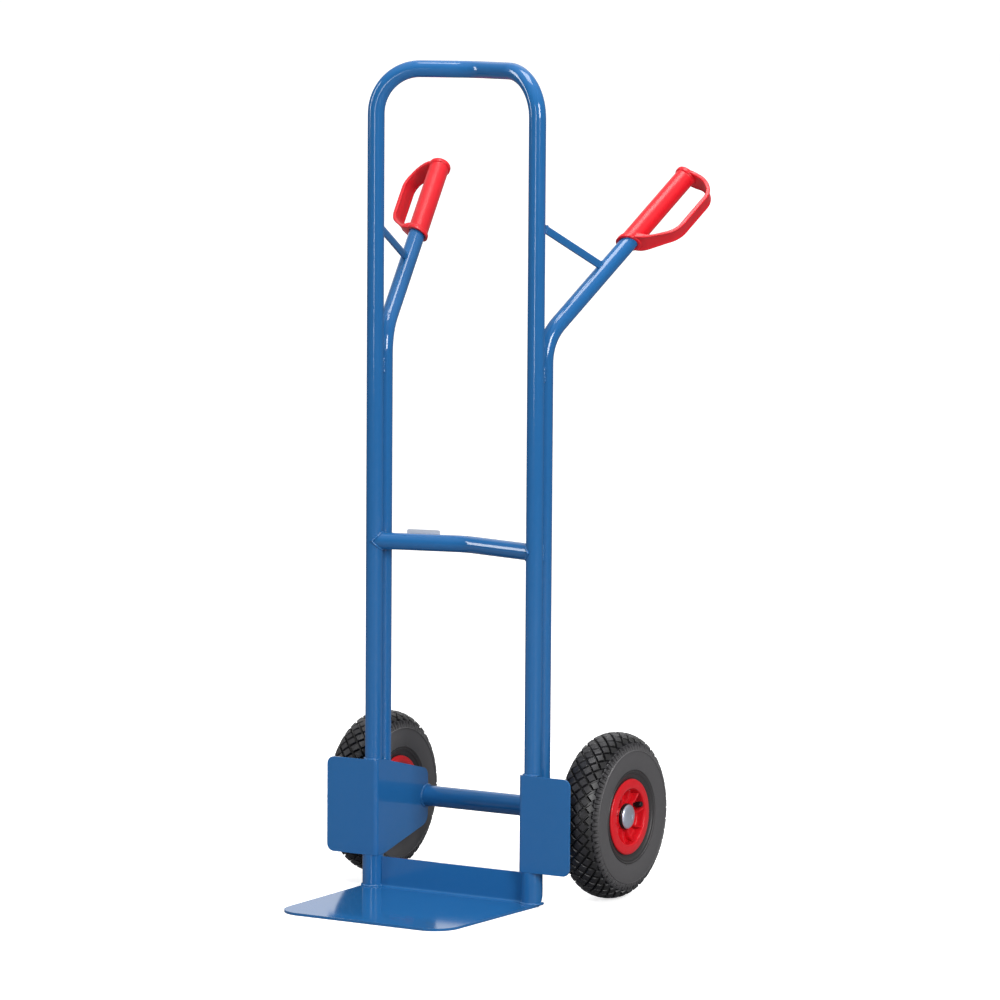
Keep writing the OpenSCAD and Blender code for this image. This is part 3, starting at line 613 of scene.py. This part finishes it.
def joint_curve(axis_point, direction, radius, post_x, post_y, post_r, start=0.0, end=2 * np.pi, count=48):
    """Where a round bar's surface meets a round post: each line of the bar's surface is followed to the
    distance post_r from the post's upright centre line, the nearer of the two roots."""
    d = np.asarray(direction, float) / np.linalg.norm(direction)
    side = np.cross(d, (0, 0, 1.0))
    side /= np.linalg.norm(side)
    up = np.cross(side, d)
    a = np.linspace(start, end, count, endpoint=end - start < 6.2)
    p = np.asarray(axis_point, float) + radius * (np.cos(a)[:, None] * side + np.sin(a)[:, None] * up)
    rel = p[:, :2] - np.array([post_x, post_y])
    qa = d[0] ** 2 + d[1] ** 2
    qb = 2 * (rel @ d[:2])
    qc = (rel ** 2).sum(1) - post_r ** 2
    root = (-qb - np.sqrt(np.maximum(qb ** 2 - 4 * qa * qc, 0))) / (2 * qa)
    return p + root[:, None] * d


def arc(x, y, z, radius, start, end, count=40):
    """A level circular arc between two angles in degrees."""
    a = np.radians(np.linspace(start, end, count))
    return np.stack([x + radius * np.cos(a), y + radius * np.sin(a), np.full(count, float(z))], -1)


beads = []
cross_dir = np.array([HALF_SPAN, -CROSS_CRANK, 0.0])
strut_dir = (strut_to - strut_from) / np.linalg.norm(strut_to - strut_from)
for name, side in SIDES:
    flip = np.array([side, 1, 1])
    lines = [
        (arc(HALF_SPAN, 0, TOE_T + 0.6, FOOT_R + 0.3, -205, 25), 2.3, False),
        (arc(HALF_SPAN, 0, 205.2, TUBE_R + 0.4, -170, -12), 1.8, False),
        (joint_curve((0, CROSS_CRANK, CROSS_Z), cross_dir, TUBE_R + 0.2, HALF_SPAN, 0, TUBE_R + 0.2), 1.9,
         True),
        (np.linspace((HALF_SPAN + 7.5, 13.4, 536), (HALF_SPAN + 7.5, 13.4, 562), 12), 2.6, False),
        (np.linspace((HALF_SPAN + 7.5, 13.4, 812), (HALF_SPAN + 7.5, 13.4, 836), 12), 2.6, False),
        (np.linspace((HALF_SPAN - 7.5, 13.4, 812), (HALF_SPAN - 7.5, 13.4, 836), 12), 2.6, False),
        (np.linspace((133.4, HANDLE_Y + 3, 80), (133.4, HANDLE_Y + 3, 110), 12), 1.9, False),
        (np.linspace((133.4, HANDLE_Y + 3, 150), (133.4, HANDLE_Y + 3, 178), 12), 1.9, False),
    ]
    for path, radius, closed in lines:
        beads.append(bead(path * flip, radius, closed))
    ring = np.linspace(0, 2 * np.pi, 72, endpoint=False)
    for x in (129.2, 133.1):
        around_tube = np.stack([np.full(72, x), AXLE_Y + (AXLE_TUBE_R + 0.6) * np.cos(ring),
                                AXLE_Z + (AXLE_TUBE_R + 0.6) * np.sin(ring)], -1)
        beads.append(bead(around_tube * flip, 2.0, True, (1, 0, 0)))
    flat_side = np.cross(strut_dir, (0, 0, 1.0))
    flat_side /= np.linalg.norm(flat_side)
    flat_up = np.cross(flat_side, strut_dir)
    box = rounded_box(5.4, 12.6, 1.6)
    for at in (strut_from + strut_dir * 4.2, strut_to - strut_dir * 15.0):
        loop = at + box[:, :1] * flat_side + box[:, 1:] * flat_up
        beads.append(bead(loop * flip, 1.3, True, strut_dir * flip))
make_piece("weld_beads", "frame", PAINT, beads, sharp=60)

# ---------------------------------------------------------------- grips
TURN_TO_HANDLE = np.stack([
    math.cos(TILT) * BACKWARD - np.array([0, 0, math.sin(TILT)]),
    np.array([-math.cos(SPLAY), math.sin(SPLAY), 0.0]),
    HANDLE_DIR], -1)
ROLL_BY = ROLL - math.pi / 2
SPIN = np.array([[math.cos(ROLL_BY), -math.sin(ROLL_BY), 0], [math.sin(ROLL_BY), math.cos(ROLL_BY), 0],
                 [0, 0, 1]])
GRIP_AXES = TURN_TO_HANDLE @ SPIN
GRIP_ORIGIN = HANDLE_TURN + HANDLE_DIR * GRIP_START
SLANT = math.tan(math.radians(24))


def grip_place(local, side):
    """Local (towards the guard, across, along the sleeve) to the truck, mirrored for the left hand."""
    world = GRIP_ORIGIN + local @ GRIP_AXES.T
    return world * np.array([side, 1, 1])


def grip_sleeve(side):
    """A lathe shape about the sleeve's axis with a rounded collar at each end. The lower end is sheared: a
    point moves along the axis by its distance towards the guard times the slant, fading out up the sleeve."""
    lower = soften([(13.45, 12), (13.45, -4.2), (14.2, -5), (17.4, -5), (18.25, -4.2), (18.25, 2.6),
                    (17.6, 3.5), (16.3, 3.9), (16, 5.5), (16, 12)], 2)
    upper = soften([(16, 140), (16, 150.5), (16.4, 151.8), (17.5, 152.2), (18.25, 153.2), (18.25, 158.6),
                    (17.0, 160), (12.0, 160), (0.0, 159.8)], 2)
    grip = np.stack([np.full(14, 16.0), np.linspace(18, 134, 14)], -1)
    profile = np.concatenate([lower, grip, upper])
    around = 64
    a = np.linspace(0, 2 * np.pi, around, endpoint=False)
    r, t0 = profile[:, :1], profile[:, 1:]
    l, w = r * np.cos(a), r * np.sin(a)
    fade = np.clip((28 - t0) / 22, 0, 1)
    fade = fade * fade * (3 - 2 * fade)
    t = t0 + fade * l * SLANT
    pts = grip_place(np.stack([l, w, t], -1).reshape(-1, 3), side)
    rows = len(profile)
    pts = np.concatenate([pts, grip_place(np.array([[0.0, 0.0, 12.0]]), side)])
    quads = [grid_faces(rows, around), fan(np.arange(around)[::-1], rows * around)]
    return part(pts, quads)


def band(l):
    """Height of the slanted lower band's underside, at a distance l from the sleeve's axis towards the
    guard."""
    return l * SLANT - 5.0


def guard_strap(side):
    """The D guard: a section between an outer and an inner line, both walked at equal fractions of their
    length. The section has a thin web and a raised lip along each edge; its half width narrows away from the
    sleeve."""
    outer = resample(rounded_path([(0, band(0) + 0.8), (22, band(22) + 0.8), (60, 50), (60, GRIP_LEN - 0.2),
                                   (2, GRIP_LEN - 0.2)], [40, 48, 34]), 400)
    inner = resample(rounded_path([(0, 11), (24, 12), (53.2, 52), (53.2, GRIP_LEN - 6.6),
                                   (2, GRIP_LEN - 6.6)],
                                  [30, 36, 27]), 400)
    walk = np.linspace(0, 1, 400)
    corner_o = np.array([0, np.argmin(np.abs(outer - [60, 80]).sum(1)), 399])
    corner_i = np.array([0, np.argmin(np.abs(inner - [53.2, 80]).sum(1)), 399])
    s = np.linspace(0, 1, 96)
    o = np.stack([np.interp(s, [0, 0.55, 1], walk[corner_o])]).ravel()
    i = np.stack([np.interp(s, [0, 0.55, 1], walk[corner_i])]).ravel()
    po = np.stack([np.interp(o, walk, outer[:, k]) for k in (0, 1)], -1)
    pi = np.stack([np.interp(i, walk, inner[:, k]) for k in (0, 1)], -1)
    n = po - pi
    gap = np.linalg.norm(n, axis=1, keepdims=True)
    n /= gap
    wide = np.interp(0.5 * (po[:, 0] + pi[:, 0]), [0, 10, 18, 46, 60], [13.5, 17.2, 17.2, 12.4, 12.4])
    f = np.array([-1, -0.985, -0.93, -0.86, -0.79, -0.72, -0.5, 0, 0.5, 0.72, 0.79, 0.86, 0.93, 0.985, 1])
    e = np.array([1.7, 0.7, 0.1, 0.0, 0.35, 1.05, 1.25, 1.25, 1.25, 1.05, 0.35, 0.0, 0.1, 0.7, 1.7])
    top = po[:, None] - e[None, :, None] * n[:, None]
    low = pi[:, None] + 0.85 * e[None, ::-1, None] * n[:, None]
    across = wide[:, None] * f[None, :]
    ring_lt = np.concatenate([top, low], 1)
    ring_w = np.concatenate([across, across[:, ::-1]], 1)
    local = np.stack([ring_lt[..., 0], ring_w, ring_lt[..., 1]], -1)
    rows, around = local.shape[:2]
    pts = np.concatenate([local.reshape(-1, 3), local[0].mean(0)[None], local[-1].mean(0)[None]])
    quads = [grid_faces(rows, around), fan(np.arange(around)[::-1], rows * around),
             fan((rows - 1) * around + np.arange(around), rows * around + 1)]
    return part(grip_place(pts, side), quads)


for name, side in SIDES:
    make_piece(name + "_guarded_grip", "frame", GRIP_RED, [grip_sleeve(side), guard_strap(side)],
               [name + "_grip"], sharp=50)

# ---------------------------------------------------------------- tyres
phi = np.linspace(-np.pi / 2, np.pi / 2, 721)
CROWN_W = TYRE_HALF * np.sign(np.sin(phi)) * np.abs(np.sin(phi)) ** (2 / 2.2)
CROWN_R = 92.0 + 38.0 * np.abs(np.cos(phi)) ** (2 / 2.5)
CROWN_S = np.r_[0, np.cumsum(np.hypot(np.diff(CROWN_W), np.diff(CROWN_R)))]
CROWN_S -= CROWN_S[360]
PITCHES = 40
PITCH = 2 * np.pi / PITCHES
ROW = 10.1


def crown(s, depth):
    """Point of the tread at arc length s from the middle, sunk by depth along the surface's normal."""
    w, r = np.interp(s, CROWN_S, CROWN_W), np.interp(s, CROWN_S, CROWN_R)
    dw = np.interp(s + 0.5, CROWN_S, CROWN_W) - np.interp(s - 0.5, CROWN_S, CROWN_W)
    dr = np.interp(s + 0.5, CROWN_S, CROWN_R) - np.interp(s - 0.5, CROWN_S, CROWN_R)
    size = np.maximum(np.hypot(dw, dr), 1e-6)
    return w + depth * dr / size, r - depth * dw / size


def tread_blocks(side, centres, half_u, half_v, turn, deep):
    """Raised blocks on the crown. Each is a 7 x 7 patch whose edge rings drop: a chamfer, then a steep wall
    to the groove's floor. centres holds (angle, arc length) pairs; the patch is turned in the tread's
    plane."""
    f = np.array([-1.10, -1.0, -0.88, 0.0, 0.88, 1.0, 1.10])
    drop = np.array([deep, 0.8, 0.0, 0.0, 0.0, 0.8, deep])
    u, v = np.meshgrid(f * half_u, f * half_v, indexing="ij")
    depth = np.maximum(*np.meshgrid(drop, drop, indexing="ij"))
    c = u * math.cos(turn) - v * math.sin(turn)
    s = u * math.sin(turn) + v * math.cos(turn)
    angle = centres[:, 0, None, None] + c[None] / TYRE_R
    w, r = crown(centres[:, 1, None, None] + s[None], depth[None])
    pts = np.stack([side * (WHEEL_X + w), AXLE_Y + r * np.cos(angle), AXLE_Z + r * np.sin(angle)], -1)
    count = len(centres)
    base = grid_faces(7, 7, wrap_cols=False)
    quads = (base[None] + 49 * np.arange(count)[:, None, None]).reshape(-1, 4)
    return pts.reshape(-1, 3), [quads if side > 0 else quads[:, ::-1]]


def tyre_carcass(side):
    """A lathe shape: groove floor under the tread, full sidewalls with moulded rings, beads and a hollow
    inside."""
    s = np.linspace(0, 52, 30)
    depth = 5.2 * np.clip((51 - s) / 3.0, 0, 1)
    w, r = crown(s, depth)
    outer = np.stack([w, r], -1)
    rr = np.array([104.6, 104.0, 103.2, 102.6, 101.8, 100, 96, 90, 84, 78, 73.5, 72.8, 72.0, 71.4, 69.2, 68.6,
                   67.8, 67.2, 64.5, 62, 60.2])
    sw = np.where(rr >= 92, TYRE_HALF * (1 - ((np.maximum(rr, 92) - 92) / 38) ** 2.5) ** (1 / 2.2),
                  TYRE_HALF - (TYRE_HALF - 28.2) * (np.maximum(92 - rr, 0) / 31.8) ** 2.2)
    lift = np.array([0, 1.0, 1.0, 0, 0, 0, 0, 0, 0, 0, 0, 1.0, 1.0, 0, 0, 0.8, 0.8, 0, 0, 0, 0])
    wall = np.stack([np.minimum(sw + lift, TYRE_HALF + 0.5), rr], -1)
    bead_edge = np.array([[28.2, 52.5], [26.8, 51.1], [19.0, 51.6], [18.5, 58.0], [26.5, 68.0], [29.5, 88.0],
                          [26.0, 108.0], [12.0, 119.0]])
    outside = outer[outer[:, 1] > 105.2]
    half = np.concatenate([outside, wall, bead_edge])
    whole = np.concatenate([half, (half * [-1, 1])[::-1][:-1]])
    return turned(whole, side, 176, x0=WHEEL_X)


def sidewall_nubs(side, count=6):
    """Small four-sided pyramids outside the bead ring, evenly round both sidewalls, with their feet inside
    the wall."""
    a = (np.arange(count) + 0.3) * 2 * np.pi / count
    corners = np.array([(-1.6, 73.8), (1.6, 73.8), (0.0, 77.4)])
    out = []
    for face in (-1, 1):
        foot_w, tip_w = face * 33.2, face * 35.6
        for angle in a:
            r, t = corners[:, 1], angle + corners[:, 0] / 75.0
            foot = np.stack([np.full(3, foot_w), r * np.cos(t), r * np.sin(t)], -1)
            tip = np.array([[tip_w, 74.9 * math.cos(angle), 74.9 * math.sin(angle)]])
            p = np.concatenate([foot, tip])
            pts = np.stack([side * (WHEEL_X + p[:, 0]), AXLE_Y + p[:, 1], AXLE_Z + p[:, 2]], -1)
            out.append(part(pts, [np.array([[0, 1, 2], [0, 3, 1], [1, 3, 2], [2, 3, 0]])]))
    return out


def tyre_parts(side):
    """The carcass, seven staggered rows of square blocks turned to diamonds, the shoulder lugs and the
    nubs."""
    k = np.arange(PITCHES) * PITCH
    rows = [(0, 0.0), (ROW, 0.5), (-ROW, 0.5), (2 * ROW, 0.0), (-2 * ROW, 0.0), (3 * ROW, 0.5),
            (-3 * ROW, 0.5)]
    blocks = np.concatenate([np.stack([k + shift * PITCH, np.full(PITCHES, s)], -1) for s, shift in rows])
    out = [tyre_carcass(side), tread_blocks(side, blocks, 5.6, 5.6, math.pi / 4, 5.6)]
    for s in (-1, 1):
        pairs = [np.stack([k + off / TYRE_R, np.full(PITCHES, s * 43.0)], -1) for off in (-4.3, 4.3)]
        out.append(tread_blocks(side, np.concatenate(pairs), 3.1, 7.4, 0.0, 5.0))
        ends = np.stack([k + 0.5 * PITCH, np.full(PITCHES, s * 46.0)], -1)
        out.append(tread_blocks(side, ends, 1.7, 4.2, 0.0, 5.2))
    out += sidewall_nubs(side)
    return out


for name, side in SIDES:
    make_piece(name + "_block_tyre", name + "_wheel", TYRE, tyre_parts(side), [name + "_tyre"],
               sharp=38)


# ---------------------------------------------------------------- rims
WHEEL_TURN = math.radians(21.0)
RIB_TURN = WHEEL_TURN + math.radians(77.0)


def wheel_place(local, side):
    """Local (down, back, outboard from the tyre's middle) to the truck."""
    return np.stack([side * (WHEEL_X + local[..., 2]), AXLE_Y + local[..., 1], AXLE_Z - local[..., 0]], -1)


def rim_lathe(side, face, hub):
    """The moulded half rim turned about the axle: lip, pocket wall, pocket floor and hub, with eased edges.
    The outer half has a broad crowned lip and shallow pockets; the inner half has deep ones, where the bolt
    heads sit."""
    line = [(15.2, 0.2), (44, 0.2), (44, 13), (49.8, 17), (50.8, 20), (50.8, 27.5), (51.8, 28.2),
            (58.4, 28.0), (59.5, 28.8), (59.5, 30.2), (58.4, 31.6), (55, 32.6)]
    if face > 0:
        line += [(48, 33), (45.2, 32.8), (43.9, 31.6), (43.3, 27), (42.6, 21), (41.6, 19.0), (39.6, 18.2),
                 (24, 18.2), (21.6, 18.6), (20.6, 19.6)]
    else:
        line += [(51, 32.8), (48.6, 32.2), (47.0, 30.6), (45.6, 25), (44.8, 18), (40.5, 13.5), (39.6, 9.0),
                 (38.2, 8.0), (24, 8.0), (21.4, 8.8), (20.6, 11)]
    line += [(20.5, hub - 1.0), (19.6, hub), (15.2, hub)]
    p = soften(line, 2)[:, ::-1] * np.array([face, 1.0])
    return turned(p, side, 120, x0=WHEEL_X)


def rim_ribs(side, face, count=9):
    """Curved ribs: a thin wall with a rounded top, along an arc from hub to lip, climbing as it goes
    outwards."""
    a = np.radians(np.linspace(-34, 34, 15))
    x, y = 31.6 + 20.5 * np.sin(a), 4.0 * (1 - np.cos(a)) / (1 - math.cos(a[0])) - 2.0
    nx, ny = -np.gradient(y), np.gradient(x)
    size = np.hypot(nx, ny)
    nx, ny = nx / size, ny / size
    rise = np.linspace(0, 1, 15)
    floor_z = 17.6 if face > 0 else 7.0
    top = 21.4 + 9.4 * rise ** 0.9 if face > 0 else 16.0 + 12.0 * rise ** 1.2
    off = np.array([1.55, 1.2, 0.95, 0.45, -0.45, -0.95, -1.2, -1.55])
    root = np.full(15, floor_z)
    half = 0.5 * (top + floor_z)
    z = np.stack([root, half, top - 0.7, top, top, top - 0.7, half, root], -1)
    px, py = x[:, None] + off * nx[:, None], y[:, None] + off * ny[:, None]
    out = []
    for k in range(count):
        t = 2 * math.pi * k / count + RIB_TURN
        local = np.stack([px * math.cos(t) - py * math.sin(t), px * math.sin(t) + py * math.cos(t), face * z],
                         -1)
        pts = wheel_place(local.reshape(-1, 3), side)
        ends = [np.arange(8)[None, :], 14 * 8 + np.arange(8)[None, ::-1]]
        out.append(part(pts, [grid_faces(15, 8)] + ends))
    return out


def ring_profile(inner, outer, low, high, ease):
    """A plain ring's section with eased edges."""
    return [(low, inner), (low, outer - ease), (low + ease, outer), (high - ease, outer),
            (high, outer - ease), (high, inner)]


for name, side in SIDES:
    make_piece(name + "_outer_rim", name + "_wheel", RIM_RED,
               [rim_lathe(side, 1, 22)] + rim_ribs(side, 1),
               [name + "_rim_outer"], sharp=40)
    make_piece(name + "_inner_rim", name + "_wheel", RIM_RED,
               [rim_lathe(side, -1, 37)] + rim_ribs(side, -1),
               [name + "_rim_inner"], sharp=40)
    ring_x = WHEEL_X + 23.7
    make_piece(name + "_rubber_ring", "frame", BLACK,
               [turned(soften(ring_profile(10.1, 20.5, 0, 2.5, 0.9), 1), side, 72, x0=ring_x)],
               [name + "_dust_ring"])
    dome = [(0.0, 0.0), (0.0, 10.05), (0.0, 18.4), (0.7, 19.0), (1.8, 19.0), (3.6, 17.2), (5.4, 13.5),
            (7.0, 8.4), (7.6, 5.4), (7.5, 4.2), (6.7, 3.4), (6.6, 0.0)]
    make_piece(name + "_pressed_cap", "frame", ZINC,
               [turned(soften(dome, 2), side, 96, x0=WHEEL_X + 26.2)], [name + "_hub_cap"])


# ---------------------------------------------------------------- valve caps
def valve_cap(side):
    """A ribbed cap: a round section with twelve shallow grooves carried along its axis, closed by a rounded
    top."""
    end, tip = np.array([36.0, 0.4, 17.0]), np.array([36.8, 2.4, 33.0])
    c, s = math.cos(math.pi / 2 + WHEEL_TURN), math.sin(math.pi / 2 + WHEEL_TURN)
    turn = np.array([[c, -s, 0], [s, c, 0], [0, 0, 1.0]])
    d = (tip - end) / np.linalg.norm(tip - end)
    start = end + 4.4 * d
    length = np.linalg.norm(tip - start)
    run = np.r_[0, 0.3, 0.8, np.linspace(1.5, length - 2.2, 8), length - 1.2, length - 0.5, length - 0.1,
                length]
    scale = np.r_[0.84, 0.96, 1.0, np.ones(8), 0.95, 0.84, 0.6, 0.3]
    path = wheel_place((start + run[:, None] * d) @ turn.T, side)
    a = np.linspace(0, 2 * np.pi, 72, endpoint=False)
    r = 4.6 * (1 - 0.075 * np.clip(np.cos(12 * a), 0, 1))
    section = np.stack([r * np.cos(a), r * np.sin(a)], -1)
    return bar(path, section, (1, 0, 0), scale)


for name, side in SIDES:
    make_piece(name + "_ribbed_valve_cap", name + "_wheel", BLACK, [valve_cap(side)],
               [name + "_valve_cap"], sharp=40)

# ---------------------------------------------------------------- finishes of the parts that stay as designed
FINISHES = {
    "axle": STEEL, "type_plate": PLATE, "plate_rivets": ZINC,
    "tube_plug": BLACK, "spacer": ZINC, "inner_tube": TUBE_RUBBER, "rim_bolts": ZINC, "bush_outer": BLACK,
    "bush_inner": BLACK}
for cad_name, cad in NODES.items():
    key = cad_name.split("_", 1)[1] if cad_name.startswith(("left_", "right_")) else cad_name
    if key in FINISHES:
        cad.data.materials.clear()
        cad.data.materials.append(FINISHES[key])

# ---------------------------------------------------------------- floor, light and camera
floor_mesh = bpy.data.meshes.new("studio_floor")
floor_mesh.from_pydata([(-40, -40, 0), (40, -40, 0), (40, 40, 0), (-40, 40, 0)], [], [(0, 1, 2, 3)])
floor = bpy.data.objects.new("studio_floor", floor_mesh)
bpy.context.scene.collection.objects.link(floor)
floor.location.z = -0.0005
floor_mat = finish_material("pale_floor", (0.93, 0.93, 0.935), drift=0.004, drift_scale=0.6, dust=0.0,
                            rough=0.55, rough_drift=0.02, grain_scale=40.0, bump=0.0, specular=0.2)
floor_tree = floor_mat.node_tree
floor_shader = floor_tree.nodes["Principled BSDF"]
seen_floor = floor_tree.nodes.new("ShaderNodeLightPath").outputs["Is Camera Ray"]
floor_tree.links.new(mix(floor_tree, seen_floor, (0.25, 0.25, 0.26, 1), (0.93, 0.93, 0.93, 1)),
                     floor_shader.inputs["Base Color"])
floor_shader.inputs["Emission Color"].default_value = (1, 1, 1, 1)
floor_tree.links.new(math_node(floor_tree, "MULTIPLY", seen_floor, 0.62),
                     floor_shader.inputs["Emission Strength"])
floor_mesh.materials.append(floor_mat)

world = bpy.data.worlds.new("studio")
bpy.context.scene.world = world
world.use_nodes = True
sky = world.node_tree
background = sky.nodes["Background"]
background.inputs["Strength"].default_value = 1.0
direction = sky.nodes.new("ShaderNodeSeparateXYZ")
sky.links.new(sky.nodes.new("ShaderNodeTexCoord").outputs["Generated"], direction.inputs[0])
behind = ramp(sky, direction.outputs["Y"], 0.15, 0.60)
to_left = ramp(sky, direction.outputs["X"], 0.25, -0.30)
wall = math_node(sky, "MULTIPLY", behind, math_node(sky, "ADD", 0.12,
                                                    math_node(sky, "MULTIPLY", to_left, 0.78)))
overhead = ramp(sky, direction.outputs["Z"], 0.30, 1.0, 0.0, 0.55)
room = math_node(sky, "ADD", math_node(sky, "ADD", wall, overhead), 0.10)
seen = sky.nodes.new("ShaderNodeLightPath").outputs["Is Camera Ray"]
sky.links.new(mix(sky, seen, room, (1.03, 1.03, 1.03, 1)), background.inputs["Color"])


def softbox(name, at, aim, wide, high, power):
    """A rectangular lamp at a place, facing the aim point, with its size in metres and its power in watts."""
    lamp = bpy.data.lights.new(name, "AREA")
    lamp.shape = "RECTANGLE"
    lamp.size, lamp.size_y = wide, high
    lamp.energy = power
    obj = bpy.data.objects.new(name, lamp)
    bpy.context.scene.collection.objects.link(obj)
    obj.location = at
    obj.rotation_euler = (Vector(aim) - Vector(at)).to_track_quat("-Z", "Y").to_euler()
    return obj


softbox("key_right", (4.6, -2.4, 2.4), (0, 0, 0.6), 1.6, 2.4, 230)
softbox("fill_left", (-3.8, -2.2, 2.2), (0, 0, 0.6), 0.8, 2.4, 60)
softbox("front", (0.9, -4.6, 1.5), (0, 0, 0.7), 0.5, 2.2, 36)
softbox("top", (0.2, -0.3, 3.6), (0, 0, 0), 1.4, 1.4, 55)

camera_data = bpy.data.cameras.new("camera")
camera_data.sensor_width = 36.0
camera_data.lens = 200.0
camera = bpy.data.objects.new("camera", camera_data)
bpy.context.scene.collection.objects.link(camera)
AZ, PITCH_DOWN, TILT_ROLL = 0.5466863, 0.0897057 + math.atan(104.035 / 5556.15), 0.0066757
forward = Vector((-math.sin(AZ) * math.cos(PITCH_DOWN), math.cos(AZ) * math.cos(PITCH_DOWN),
                  -math.sin(PITCH_DOWN)))
right = Vector((math.cos(AZ), math.sin(AZ), 0))
up = right.cross(forward)
right, up = (math.cos(TILT_ROLL) * right + math.sin(TILT_ROLL) * up,
             -math.sin(TILT_ROLL) * right + math.cos(TILT_ROLL) * up)
camera.matrix_world = Matrix((
    (right.x, up.x, -forward.x, 4.508676),
    (right.y, up.y, -forward.y, -7.271664 - BACK * MM),
    (right.z, up.z, -forward.z, 1.554313),
    (0, 0, 0, 1)))
camera_data.clip_end = 200
bpy.context.scene.camera = camera
bpy.context.scene.view_settings.view_transform = "Standard"
